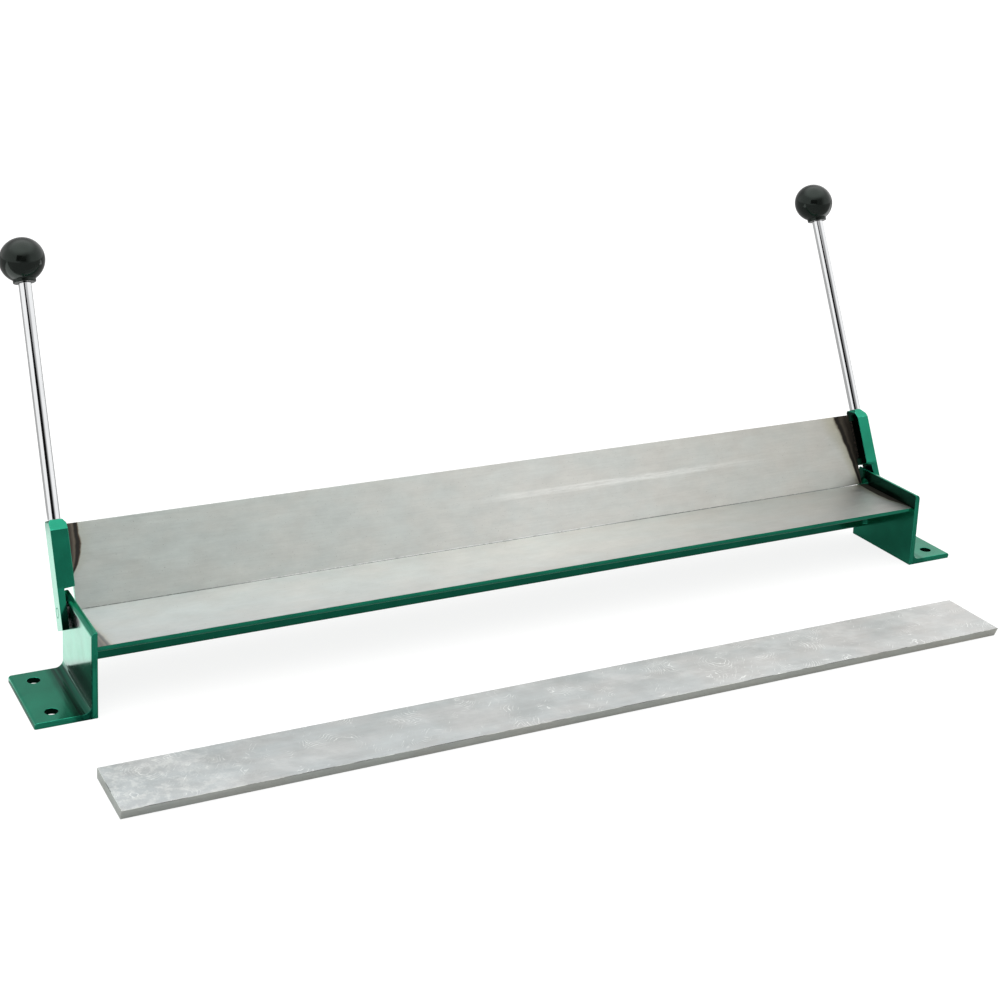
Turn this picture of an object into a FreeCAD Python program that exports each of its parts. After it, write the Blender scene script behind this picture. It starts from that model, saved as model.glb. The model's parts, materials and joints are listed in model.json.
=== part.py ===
"""Bench sheet-metal bender, 30 in wide: a fixed bed, a hinged bending leaf and a loose clamp bar.

Millimetres, +X along the bed, +Y away from the user, +Z up.
The origin is the middle of the four foot bolts, on the bench top.
The leaf group is drawn standing up from the hinge line and then leaned back to its rest place.
"""
import FreeCAD, Part
import os
import Sketcher

# Driving sizes, in millimetres and degrees
SIZES = (
    # bed: an angle section, flat side up, skirt hanging down at the hinge
    ("bed_length", 762.0),
    ("bed_width", 67.0),
    ("bed_skirt", 42.0),
    ("bed_wall", 4.8),
    # rolled section corners, the same stock for bed, leaf and brackets
    ("root_radius", 6.0),
    ("toe_radius", 2.4),
    # end brackets
    ("bracket_height", 68.0),
    ("bed_drop", 13.0),
    ("bracket_depth", 82.0),
    ("bracket_rear", 11.0),
    ("bracket_foot", 47.0),
    ("bracket_wall", 4.8),
    ("foot_hole_dia", 10.0),
    ("foot_hole_inset", 31.0),
    ("foot_hole_spacing", 53.0),
    # bending leaf
    ("leaf_angle", 26.0),
    ("leaf_width", 66.0),
    ("leaf_skirt", 42.0),
    ("leaf_wall", 4.8),
    ("leaf_end_gap", 3.8),
    ("hinge_gap", 0.4),
    # arms welded to the leaf's ends
    ("arm_overlap", 0.7),
    ("arm_width", 12.0),
    ("arm_depth", 16.0),
    ("arm_front", 9.6),
    ("arm_top", 70.0),
    ("arm_notch", 17.8),
    ("arm_edge_radius", 0.8),
    ("tongue_drop", 13.6),
    ("tongue_gap", 1.0),
    ("crown_front_depth", 4.5),
    ("crown_front_drop", 8.0),
    ("crown_rear_depth", 1.2),
    ("crown_rear_drop", 2.0),
    # hinge pins and spacers
    ("pin_dia", 8.0),
    ("pin_clearance", 0.08),
    ("pin_recess", 0.5),
    ("pin_chamfer", 0.6),
    ("spacer_dia", 12.0),
    ("spacer_clearance", 0.25),
    ("spacer_play", 0.2),
    # handle rods
    ("rod_dia", 10.0),
    ("thread_dia", 8.0),
    ("rod_thread_length", 16.0),
    ("socket_end_room", 1.0),
    # ball knobs with moulded-in hexagon inserts
    ("knob_dia", 36.0),
    ("knob_reach", 275.0),
    ("collar_dia", 18.0),
    ("collar_reach", 18.5),
    ("bush_flats", 12.0),
    ("bush_length", 18.0),
    ("bush_end_room", 1.0),
    ("knob_thread_length", 14.0),
    # weld beads
    ("bead_leg", 4.0),
    ("bead_crown", 0.62),
    ("bead_end_gap", 8.0),
    ("leaf_bead_low", 24.0),
    ("leaf_bead_high", 60.0),
    ("leaf_bead_sink", 0.5),
    # clamp bar, lying in front of the bender
    ("bar_width", 61.0),
    ("bar_thickness", 8.0),
    ("bar_bevel", 3.5),
    ("bar_end_gap", 3.5),
    ("bar_shift", -27.9),
    ("bar_distance", 187.0),
    ("bar_turn", -0.5),
)
SIDES = {"left": -1, "right": 1}
TOLERANCE = 1e-4

# Places that several pieces share, as expressions on the sheet
BED_END = "Sizes.bed_length / 2"
HINGE_BACK = "(Sizes.bracket_depth / 2 - Sizes.bracket_rear)"
BED_FRONT = HINGE_BACK + " - Sizes.bed_width"
BED_REAR = HINGE_BACK + " - Sizes.hinge_gap"
BED_TOP = "(Sizes.bracket_height - Sizes.bed_drop)"
BED_UNDER = BED_TOP + " - Sizes.bed_wall"
SKIRT_FRONT = BED_REAR + " - Sizes.bed_wall"
SKIRT_BOTTOM = BED_TOP + " - Sizes.bed_skirt"
BRACKET_OUT = BED_END + " + Sizes.bracket_wall"
ARM_IN = BED_END + " - Sizes.arm_overlap"
ARM_OUT = ARM_IN + " + Sizes.arm_width"
ARM_MIDDLE = ARM_IN + " + Sizes.arm_width / 2"
ARM_REAR = "Sizes.arm_depth - Sizes.arm_front"
TONGUE_IN = BRACKET_OUT + " + Sizes.tongue_gap"
LEAF_END = BED_END + " - Sizes.leaf_end_gap"
LEAF_HEEL = "Sizes.hinge_gap"
LEAF_SKIRT_TOP = LEAF_HEEL + " + Sizes.leaf_wall"
COLLAR_FACE = "Sizes.knob_reach - Sizes.collar_reach"

doc = FreeCAD.newDocument("bench_bender")
sheet = doc.addObject("Spreadsheet::Sheet", "Sizes")
for row, (alias, number) in enumerate(SIZES, start=1):
    sheet.set(f"A{row}", alias)
    sheet.set(f"B{row}", str(number))
    sheet.setAlias(f"B{row}", alias)
doc.recompute()


def size(text):
    """The number that an expression on the sheet gives."""
    result = sheet.evalExpression(text)
    return float(getattr(result, "Value", result))


def sided(side, text):
    """An X place on the left or right end."""
    return f"{side} * ({text})"


def point(across, back, up):
    """A point from three expressions."""
    return FreeCAD.Vector(size(across), size(back), size(up))


def new_body(name, across="0", leaning=False):
    """An empty body; the leaf group's bodies stand on the hinge line and lean with it."""
    body = doc.addObject("PartDesign::Body", name)
    body.Label = name
    if leaning:
        place = f"vector({across}; {HINGE_BACK}; {BED_TOP})"
        turn = "rotation(vector(1; 0; 0); -Sizes.leaf_angle)"
        body.setExpression("Placement", f"placement({place}; {turn})")
    return body


def new_sketch(body, name, role, lift):
    """An empty sketch on one of the body's own origin planes, lifted along the plane's normal."""
    sketch = body.newObject("Sketcher::SketchObject", name)
    plane = next(item for item in body.Origin.OriginFeatures if item.Role == role)
    sketch.AttachmentSupport = [(plane, "")]
    sketch.MapMode = "FlatFace"
    sketch.setExpression("AttachmentOffset.Base.z", lift)
    return sketch


def bind(sketch, kind, text, *where):
    """One driving dimension, bound to the sheet."""
    index = sketch.addConstraint(Sketcher.Constraint(kind, *where, size(text)))
    sketch.setExpression(f"Constraints[{index}]", text)


def outline(body, name, role, corners, lift="0"):
    """A closed outline of straight lines, with each corner's place bound to the sheet."""
    sketch = new_sketch(body, name, role, lift)
    spots = [FreeCAD.Vector(size(u), size(v), 0) for u, v in corners]
    count = len(spots)
    for i in range(count):
        sketch.addGeometry(Part.LineSegment(spots[i], spots[(i + 1) % count]), False)
    for i in range(count):
        sketch.addConstraint(Sketcher.Constraint("Coincident", i, 2, (i + 1) % count, 1))
    for i, (u, v) in enumerate(corners):
        bind(sketch, "DistanceX", u, -1, 1, i, 1)
        bind(sketch, "DistanceY", v, -1, 1, i, 1)
    return sketch


def circles(body, name, role, centres, diameters, lift="0"):
    """Circles with their centres and diameters bound to the sheet."""
    sketch = new_sketch(body, name, role, lift)
    for i, ((u, v), across) in enumerate(zip(centres, diameters)):
        middle = FreeCAD.Vector(size(u), size(v), 0)
        circle = Part.Circle(middle, FreeCAD.Vector(0, 0, 1), size(across) / 2)
        sketch.addGeometry(circle, False)
        bind(sketch, "DistanceX", u, -1, 1, i, 3)
        bind(sketch, "DistanceY", v, -1, 1, i, 3)
        bind(sketch, "Diameter", across, i)
    return sketch


def hexagon(body, name):
    """The insert's outline on the knob's collar face."""
    half, peak, shoulder = "Sizes.bush_flats / 2", "Sizes.bush_flats / sqrt(3)", "Sizes.bush_flats / sqrt(12)"
    corners = (
        (half, shoulder),
        ("0", peak),
        (f"-{half}", shoulder),
        (f"-{half}", f"-{shoulder}"),
        ("0", f"-{peak}"),
        (half, f"-{shoulder}"),
    )
    return outline(body, name, "XY_Plane", corners, COLLAR_FACE)


def pad(body, name, sketch, length, both_ways=False, backwards=False):
    """A sketch made solid."""
    feature = body.newObject("PartDesign::Pad", name)
    feature.Profile = sketch
    feature.SideType = "Symmetric" if both_ways else "One side"
    feature.Reversed = backwards
    feature.setExpression("Length", length)
    doc.recompute()
    return feature


def pocket(body, name, sketch, depth=None, upwards=False):
    """A sketch cut from the solid, right through unless a depth is given."""
    before = body.Shape.Volume
    feature = body.newObject("PartDesign::Pocket", name)
    feature.Profile = sketch
    if depth is None:
        feature.Type = "ThroughAll"
        feature.SideType = "Symmetric"
    else:
        feature.setExpression("Length", depth)
        feature.Reversed = upwards
    doc.recompute()
    if body.Shape.Volume >= before - TOLERANCE:
        raise RuntimeError(f"{body.Label}: {name} cuts nothing")
    return feature


def revolve(body, name, sketch):
    """A sketch turned right round its own upright axis."""
    feature = body.newObject("PartDesign::Revolution", name)
    feature.Profile = sketch
    feature.ReferenceAxis = (sketch, ["V_Axis"])
    feature.Angle = 360
    doc.recompute()
    return feature


def edge_names(feature, spots):
    """The names of the feature's edges that run through the given points."""
    names = []
    for i, edge in enumerate(feature.Shape.Edges, start=1):
        if any(edge.distToShape(Part.Vertex(spot))[0] < TOLERANCE for spot in spots):
            names.append(f"Edge{i}")
    if len(names) != len(spots):
        raise RuntimeError(f"{feature.Label}: {len(names)} edges found for {len(spots)} points")
    return names


def dress(body, kind, name, amount, spots):
    """A Fillet or Chamfer on the edges through the given points."""
    base = body.Tip
    feature = body.newObject(f"PartDesign::{kind}", name)
    feature.Base = (base, edge_names(base, spots))
    feature.setExpression("Radius" if kind == "Fillet" else "Size", amount)
    doc.recompute()
    return feature


def round_section(body, root, toes):
    """The inner corner and the two rounded toes of a rolled angle section."""
    dress(body, "Fillet", "root", "Sizes.root_radius", [root])
    dress(body, "Fillet", "toes", "Sizes.toe_radius", toes)


def bead_outline(corner, along_u, along_v):
    """A fillet weld's section: both legs from the corner and a crown between them."""
    u, v = corner
    leg, crown = "Sizes.bead_leg", "Sizes.bead_leg * Sizes.bead_crown"
    return (
        (u, v),
        (f"{u} + {along_u} * {leg}", v),
        (f"{u} + {along_u} * {crown}", f"{v} + {along_v} * {crown}"),
        (u, f"{v} + {along_v} * {leg}"),
    )


def make_bed():
    """The bed: bare flat top, with a skirt down its hinge side."""
    body = new_body("bed")
    corners = (
        (BED_FRONT, BED_TOP),
        (BED_REAR, BED_TOP),
        (BED_REAR, SKIRT_BOTTOM),
        (SKIRT_FRONT, SKIRT_BOTTOM),
        (SKIRT_FRONT, BED_UNDER),
        (BED_FRONT, BED_UNDER),
    )
    section = outline(body, "bed_section", "YZ_Plane", corners)
    pad(body, "bed_run", section, "Sizes.bed_length", both_ways=True)
    toes = [point("0", SKIRT_FRONT, SKIRT_BOTTOM), point("0", BED_FRONT, BED_UNDER)]
    round_section(body, point("0", SKIRT_FRONT, BED_UNDER), toes)


def make_bracket(hand, side):
    """An end bracket: a length of angle with its foot turned outwards."""
    body = new_body(f"{hand}_bracket")
    foot_end = BED_END + " + Sizes.bracket_foot"
    corners = (
        (sided(side, BED_END), "0"),
        (sided(side, foot_end), "0"),
        (sided(side, foot_end), "Sizes.bracket_wall"),
        (sided(side, BRACKET_OUT), "Sizes.bracket_wall"),
        (sided(side, BRACKET_OUT), "Sizes.bracket_height"),
        (sided(side, BED_END), "Sizes.bracket_height"),
    )
    section = outline(body, "bracket_section", "XZ_Plane", corners)
    pad(body, "bracket_run", section, "Sizes.bracket_depth", both_ways=True)
    root = point(sided(side, BRACKET_OUT), "0", "Sizes.bracket_wall")
    foot_toe = point(sided(side, foot_end), "0", "Sizes.bracket_wall")
    top_toe = point(sided(side, BRACKET_OUT), "0", "Sizes.bracket_height")
    round_section(body, root, [foot_toe, top_toe])

    hole_across = sided(side, BED_END + " + Sizes.foot_hole_inset")
    centres = [(hole_across, f"{end} * Sizes.foot_hole_spacing / 2") for end in (-1, 1)]
    holes = circles(body, "foot_hole_plan", "XY_Plane", centres, ["Sizes.foot_hole_dia"] * 2)
    pocket(body, "foot_holes", holes)

    bore_dia = "Sizes.pin_dia + 2 * Sizes.pin_clearance"
    bore = circles(body, "pin_bore_plan", "YZ_Plane", [(HINGE_BACK, BED_TOP)], [bore_dia])
    pocket(body, "pin_bore", bore)


def make_bed_beads(hand, side):
    """Fillet welds that hold one end of the bed to its bracket."""
    under = new_body(f"{hand}_bed_weld")
    under_end = sided(side, BED_END)
    section = bead_outline((under_end, BED_UNDER), -side, -1)
    first = BED_FRONT + " + Sizes.bead_end_gap"
    last = SKIRT_FRONT + " - Sizes.root_radius"
    profile = outline(under, "bead_section", "XZ_Plane", section, lift=f"-({last})")
    pad(under, "bead_run", profile, f"({last}) - ({first})")

    upright = new_body(f"{hand}_skirt_weld")
    section = bead_outline((under_end, SKIRT_FRONT), -side, -1)
    low = SKIRT_BOTTOM + " + Sizes.bead_end_gap / 2"
    high = BED_UNDER + " - Sizes.root_radius"
    profile = outline(upright, "bead_section", "XY_Plane", section, lift=low)
    pad(upright, "bead_run", profile, f"({high}) - ({low})")


def make_leaf():
    """The bending leaf: the bed's section back to back with it across the hinge line."""
    body = new_body("leaf", leaning=True)
    corners = (
        ("0", LEAF_HEEL),
        ("0", "Sizes.leaf_width"),
        ("Sizes.leaf_wall", "Sizes.leaf_width"),
        ("Sizes.leaf_wall", LEAF_SKIRT_TOP),
        ("Sizes.leaf_skirt", LEAF_SKIRT_TOP),
        ("Sizes.leaf_skirt", LEAF_HEEL),
    )
    section = outline(body, "leaf_section", "YZ_Plane", corners)
    pad(body, "leaf_run", section, f"2 * ({LEAF_END})", both_ways=True)
    toes = [(0, "Sizes.leaf_wall", "Sizes.leaf_width"), (0, "Sizes.leaf_skirt", LEAF_SKIRT_TOP)]
    root = FreeCAD.Vector(0, size("Sizes.leaf_wall"), size(LEAF_SKIRT_TOP))
    toe_spots = [FreeCAD.Vector(x, size(y), size(z)) for x, y, z in toes]
    round_section(body, root, toe_spots)


def make_arm(hand, side):
    """An arm: a flat bar, half cut away below so that a tongue laps outside the bracket."""
    body = new_body(f"{hand}_arm", leaning=True)
    inner, outer, tongue = sided(side, ARM_IN), sided(side, ARM_OUT), sided(side, TONGUE_IN)
    corners = (
        (inner, "Sizes.arm_notch"),
        (inner, "Sizes.arm_top"),
        (outer, "Sizes.arm_top"),
        (outer, "-Sizes.tongue_drop"),
        (tongue, "-Sizes.tongue_drop"),
        (tongue, "Sizes.arm_notch"),
    )
    face = outline(body, "arm_face", "XZ_Plane", corners, lift=f"-({ARM_REAR})")
    pad(body, "arm_block", face, "Sizes.arm_depth")

    front_cut = (
        ("-Sizes.arm_front", "Sizes.arm_top - Sizes.crown_front_drop"),
        ("-Sizes.arm_front", "Sizes.arm_top"),
        ("-Sizes.arm_front + Sizes.crown_front_depth", "Sizes.arm_top"),
    )
    pocket(body, "crown_front", outline(body, "crown_front_plan", "YZ_Plane", front_cut))
    rear_cut = (
        (ARM_REAR, "Sizes.arm_top - Sizes.crown_rear_drop"),
        (ARM_REAR, "Sizes.arm_top"),
        (ARM_REAR + " - Sizes.crown_rear_depth", "Sizes.arm_top"),
    )
    pocket(body, "crown_rear", outline(body, "crown_rear_plan", "YZ_Plane", rear_cut))

    socket_at = [(sided(side, ARM_MIDDLE), "0")]
    socket = circles(body, "socket_plan", "XY_Plane", socket_at, ["Sizes.thread_dia"], "Sizes.arm_top")
    pocket(body, "rod_socket", socket, "Sizes.rod_thread_length + Sizes.socket_end_room")
    bore = circles(body, "pin_bore_plan", "YZ_Plane", [("0", "0")], ["Sizes.pin_dia"])
    pocket(body, "pin_bore", bore)

    middle = "(Sizes.arm_notch + Sizes.arm_top) / 2"
    spots = [point(x, y, middle) for x in (inner, outer) for y in ("-Sizes.arm_front", ARM_REAR)]
    dress(body, "Fillet", "edge_breaks", "Sizes.arm_edge_radius", spots)


def make_leaf_bead(hand, side):
    """The weld that fills the gap between the leaf's end and the arm, and laps onto the leaf's back."""
    body = new_body(f"{hand}_leaf_weld", leaning=True)
    arm, leaf = sided(side, ARM_IN), sided(side, LEAF_END)
    lap = sided(side, LEAF_END + " - Sizes.bead_leg")
    corners = (
        (arm, "Sizes.leaf_bead_sink"),
        (leaf, "Sizes.leaf_bead_sink"),
        (leaf, "Sizes.leaf_wall"),
        (lap, "Sizes.leaf_wall"),
        (leaf, "Sizes.leaf_wall + Sizes.bead_leg * Sizes.bead_crown"),
        (arm, "Sizes.leaf_wall + Sizes.bead_leg"),
    )
    section = outline(body, "bead_section", "XY_Plane", corners, lift="Sizes.leaf_bead_low")
    pad(body, "bead_run", section, "Sizes.leaf_bead_high - Sizes.leaf_bead_low")


def make_pin(hand, side):
    """A hinge pin, held in the tongue and turning in the bracket."""
    body = new_body(f"{hand}_hinge_pin", leaning=True)
    inner_end = BED_END + " + Sizes.pin_recess"
    plan = circles(body, "pin_plan", "YZ_Plane", [("0", "0")], ["Sizes.pin_dia"], sided(side, inner_end))
    pad(body, "pin_run", plan, f"({ARM_OUT}) - ({inner_end})", backwards=side < 0)
    rim = FreeCAD.Vector(size(sided(side, ARM_OUT)), 0, -size("Sizes.pin_dia") / 2)
    dress(body, "Chamfer", "pin_lead", "Sizes.pin_chamfer", [rim])


def make_spacer(hand, side):
    """A thin washer on the pin that keeps the tongue off the bracket."""
    body = new_body(f"{hand}_spacer", leaning=True)
    start = sided(side, BRACKET_OUT + " + Sizes.spacer_play")
    bore = "Sizes.pin_dia + 2 * Sizes.spacer_clearance"
    rings = [("0", "0")] * 2
    plan = circles(body, "spacer_plan", "YZ_Plane", rings, ["Sizes.spacer_dia", bore], start)
    pad(body, "spacer_run", plan, "Sizes.tongue_gap - Sizes.spacer_play", backwards=side < 0)


def make_rod(hand, side):
    """A handle rod: bright round bar with a threaded spigot at each end."""
    body = new_body(f"{hand}_rod", sided(side, ARM_MIDDLE), leaning=True)
    thread, shank = "Sizes.thread_dia / 2", "Sizes.rod_dia / 2"
    corners = (
        ("0", "Sizes.arm_top - Sizes.rod_thread_length"),
        (thread, "Sizes.arm_top - Sizes.rod_thread_length"),
        (thread, "Sizes.arm_top"),
        (shank, "Sizes.arm_top"),
        (shank, COLLAR_FACE),
        (thread, COLLAR_FACE),
        (thread, COLLAR_FACE + " + Sizes.knob_thread_length"),
        ("0", COLLAR_FACE + " + Sizes.knob_thread_length"),
    )
    revolve(body, "rod_turned", outline(body, "rod_section", "XZ_Plane", corners))


def make_knob(hand, side):
    """A moulded ball with a short collar and a cavity for its insert."""
    body = new_body(f"{hand}_knob", sided(side, ARM_MIDDLE), leaning=True)
    ball = body.newObject("PartDesign::AdditiveSphere", "ball")
    ball.setExpression("Radius", "Sizes.knob_dia / 2")
    ball.setExpression("Placement", "placement(vector(0; 0; Sizes.knob_reach); rotation(vector(0; 0; 1); 0))")
    doc.recompute()
    axis = [("0", "0")]
    collar = circles(body, "collar_plan", "XY_Plane", axis, ["Sizes.collar_dia"], COLLAR_FACE)
    pad(body, "collar", collar, "Sizes.collar_reach")
    pocket(body, "bush_cavity", hexagon(body, "cavity_plan"), "Sizes.bush_length", upwards=True)


def make_bush(hand, side):
    """The blind threaded hexagon insert moulded into a knob."""
    body = new_body(f"{hand}_knob_bush", sided(side, ARM_MIDDLE), leaning=True)
    pad(body, "bush_blank", hexagon(body, "bush_plan"), "Sizes.bush_length")
    bore = circles(body, "bore_plan", "XY_Plane", [("0", "0")], ["Sizes.thread_dia"], COLLAR_FACE)
    pocket(body, "bush_bore", bore, "Sizes.knob_thread_length + Sizes.bush_end_room", upwards=True)


def make_bar():
    """The loose clamp bar, its bevelled long edge towards the user."""
    body = new_body("clamp_bar")
    place = f"vector(Sizes.bar_shift; {HINGE_BACK} - Sizes.bar_distance; 0)"
    turn = "rotation(vector(0; 0; 1); Sizes.bar_turn)"
    body.setExpression("Placement", f"placement({place}; {turn})")
    half = "Sizes.bar_width / 2"
    corners = (
        (f"-{half} + Sizes.bar_bevel", "0"),
        (half, "0"),
        (half, "Sizes.bar_thickness"),
        (f"-{half}", "Sizes.bar_thickness"),
    )
    section = outline(body, "bar_section", "YZ_Plane", corners)
    pad(body, "bar_run", section, f"2 * ({BED_END} - Sizes.bar_end_gap)", both_ways=True)


def check_document():
    """Stop if any object failed or any body has no sound solid."""
    for item in doc.Objects:
        if {"Invalid", "Error"} & set(item.State):
            raise RuntimeError(f"{item.Label} did not recompute: {item.State}")
    for body in doc.findObjects("PartDesign::Body"):
        if body.Shape.isNull() or not body.Shape.isValid() or len(body.Shape.Solids) != 1:
            raise RuntimeError(f"{body.Label} is not one sound solid")


make_bed()
make_leaf()
make_bar()
for hand, side in SIDES.items():
    make_bracket(hand, side)
    make_bed_beads(hand, side)
    make_arm(hand, side)
    make_leaf_bead(hand, side)
    make_pin(hand, side)
    make_spacer(hand, side)
    make_rod(hand, side)
    make_knob(hand, side)
    make_bush(hand, side)

doc.recompute()
check_document()
os.makedirs("parts", exist_ok=True)
for body in doc.findObjects("PartDesign::Body"):
    body.Shape.exportStep(os.path.join("parts", f"{body.Label}.step"))
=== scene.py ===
"""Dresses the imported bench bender: ground steel, gloss enamel, chrome handles and black ball knobs."""

import json
import math
import random

import bmesh
import bpy
from bpy.props import FloatProperty, FloatVectorProperty, PointerProperty
from mathutils import Matrix, Vector


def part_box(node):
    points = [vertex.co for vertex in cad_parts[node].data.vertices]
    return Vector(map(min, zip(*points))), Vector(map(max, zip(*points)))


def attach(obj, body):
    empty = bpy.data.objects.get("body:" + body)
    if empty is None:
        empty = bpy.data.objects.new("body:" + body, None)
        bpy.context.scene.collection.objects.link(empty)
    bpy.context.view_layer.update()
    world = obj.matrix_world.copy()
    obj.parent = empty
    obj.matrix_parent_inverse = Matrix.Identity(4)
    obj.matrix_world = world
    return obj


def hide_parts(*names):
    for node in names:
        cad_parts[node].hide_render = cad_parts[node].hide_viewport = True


bl_info = {
    "name": "Bench bender",
    "version": (1, 0, 0),
    "blender": (4, 5, 0),
    "location": "View3D > Sidebar > Bender",
    "description": "Models and finishes a bench sheet-metal bender around its packed solids",
    "category": "Object",
}

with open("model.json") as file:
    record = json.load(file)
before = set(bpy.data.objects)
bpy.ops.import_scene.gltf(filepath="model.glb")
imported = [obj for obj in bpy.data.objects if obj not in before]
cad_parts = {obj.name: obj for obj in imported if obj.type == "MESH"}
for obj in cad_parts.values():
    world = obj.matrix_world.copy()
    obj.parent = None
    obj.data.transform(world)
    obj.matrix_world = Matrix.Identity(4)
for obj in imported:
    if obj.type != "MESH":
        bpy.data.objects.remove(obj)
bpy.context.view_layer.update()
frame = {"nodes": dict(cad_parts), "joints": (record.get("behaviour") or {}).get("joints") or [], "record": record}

MM = 0.001
SIDES = {"left": -1, "right": 1}
X, Y, Z = range(3)
ORIGIN = (0, 0, 0)
HINGE = Vector(next(j["pos_m"] for j in frame["joints"] if j["name"] == "leaf_hinge"))
BOLTS = next(m["dims"] for m in frame["record"]["mounts"] if m["name"] == "foot_bolts")

BED_LOW, BED_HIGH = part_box("bed")
BRACKET_LOW, BRACKET_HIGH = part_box("right_bracket")
KNOB_LOW, KNOB_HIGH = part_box("right_knob")
ROD_LOW, ROD_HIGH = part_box("right_rod")
ARM_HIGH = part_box("right_arm")[1]
LEAF_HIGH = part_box("leaf")[1]
ROD_X = (ROD_LOW.x + ROD_HIGH.x) / 2

FLAT = 0.9  # a face looks along an axis where its normal has this much of it
SQUARE = 0.98  # the same for the plain sides of painted parts, without their broken edges

# What differs between the two arms, as the photo shows them, by side
ARM_EXTRA = {-1: 1.6 * MM, 1: 0}  # reach further inwards
CROWN_FALL = {-1: 1.2 * MM, 1: 3.4 * MM}  # fall of the crown's outer slope
NOTCH_ROUND = {-1: 1.0 * MM, 1: 2.4 * MM}  # rounding over the cut-away

# How much painted shade a painted face gets: the numbers in its face attribute
ARM_FRONT, PLATE_INNER, SHADED_SIDE, HOLE_WALL = 0.7, 0.82, 1.0, 1.5

# Where the enamel's masks for painted shade and ridges begin and end, in metres from the middle of the bender
INNER_FACE = (0.3820, 0.3830)  # just past the inner face of a bracket's plate
OUTER_FACE = (0.3840, 0.3850)  # just short of its outer face
FOOT_SIDE = (0.3845, 0.3855)  # where the side with the foot begins
FOOT_ROOT = (0.394, 0.402)  # where the foot's root has run out
# the dark marks on the plates are painted shade
PLATE_SLANT = 0.47  # climb of the dark marks on the plates, towards the back

# Heat tint: the outlines are given in millimetres, up to this height and width
TINT_HIGH, TINT_WIDE = 70, 25
# On the right-hand ends the near-black inside of the tints is partly real heat scale and partly painted shade.
BED_TINTS = (
    (-1, 0.72, 0.0, 0.35, ((0, 3.2), (16, 5.0), (40, 8.6), (66, 11.0))),
    (1, 0.97, 0.75, 0.10, ((0, 7.5), (20, 9.5), (42, 8.0), (54, 3.0), (66, 0.2))),
)
LEAF_TINTS = (
    (-1, 0.96, 0.10, 0.06, ((20, 2.4), (27, 3.6), (36, 11.0), (48, 13.4), (58, 12.8), (68, 11.6))),
    (1, 0.98, 0.72, 0.10, ((0, 6.5), (14, 9.5), (30, 12.0), (46, 17.5), (58, 21.5), (68, 22.5))),
)
# Painted shade along X on the bed and the leaf: lightest a little right of the middle, darkest at the right end
BED_PAINTED_SHADE = ((0.0, (0.675, 0.655, 0.695)), (0.55, (0.715, 0.695, 0.72)), (1.0, (0.425, 0.42, 0.435)))
LEAF_PAINTED_SHADE = ((0.0, (0.79, 0.81, 0.80)), (0.55, (0.99, 0.97, 0.99)), (1.0, (0.64, 0.63, 0.63)))
LEAF_RUB = (0.0365, -0.06, 0.30)  # height of the bright rub line and its two ends

CAMERA_PLACE = (-0.712363, -1.236240, 0.653463)
CAMERA_YAW, CAMERA_PITCH, CAMERA_ROLL = 27.519, -13.372, 2.400
CAMERA_SHIFT = (0.030, -0.250)


# ---------------------------------------------------------------- values a user would change

def length(name, text, metres):
    """A length that the sidebar shows in the scene's units."""
    return FloatProperty(name=name, description=text, default=metres, unit="LENGTH", precision=5)


def angle(name, text, degrees):
    """An angle that the sidebar shows in degrees."""
    return FloatProperty(name=name, description=text, default=math.radians(degrees), subtype="ANGLE")


def number(name, text, value):
    """A plain number."""
    return FloatProperty(name=name, description=text, default=value)


def colour(name, text, value):
    """A colour that the sidebar shows as a swatch."""
    return FloatVectorProperty(name=name, description=text, default=value, subtype="COLOR", min=0, max=1)


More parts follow.
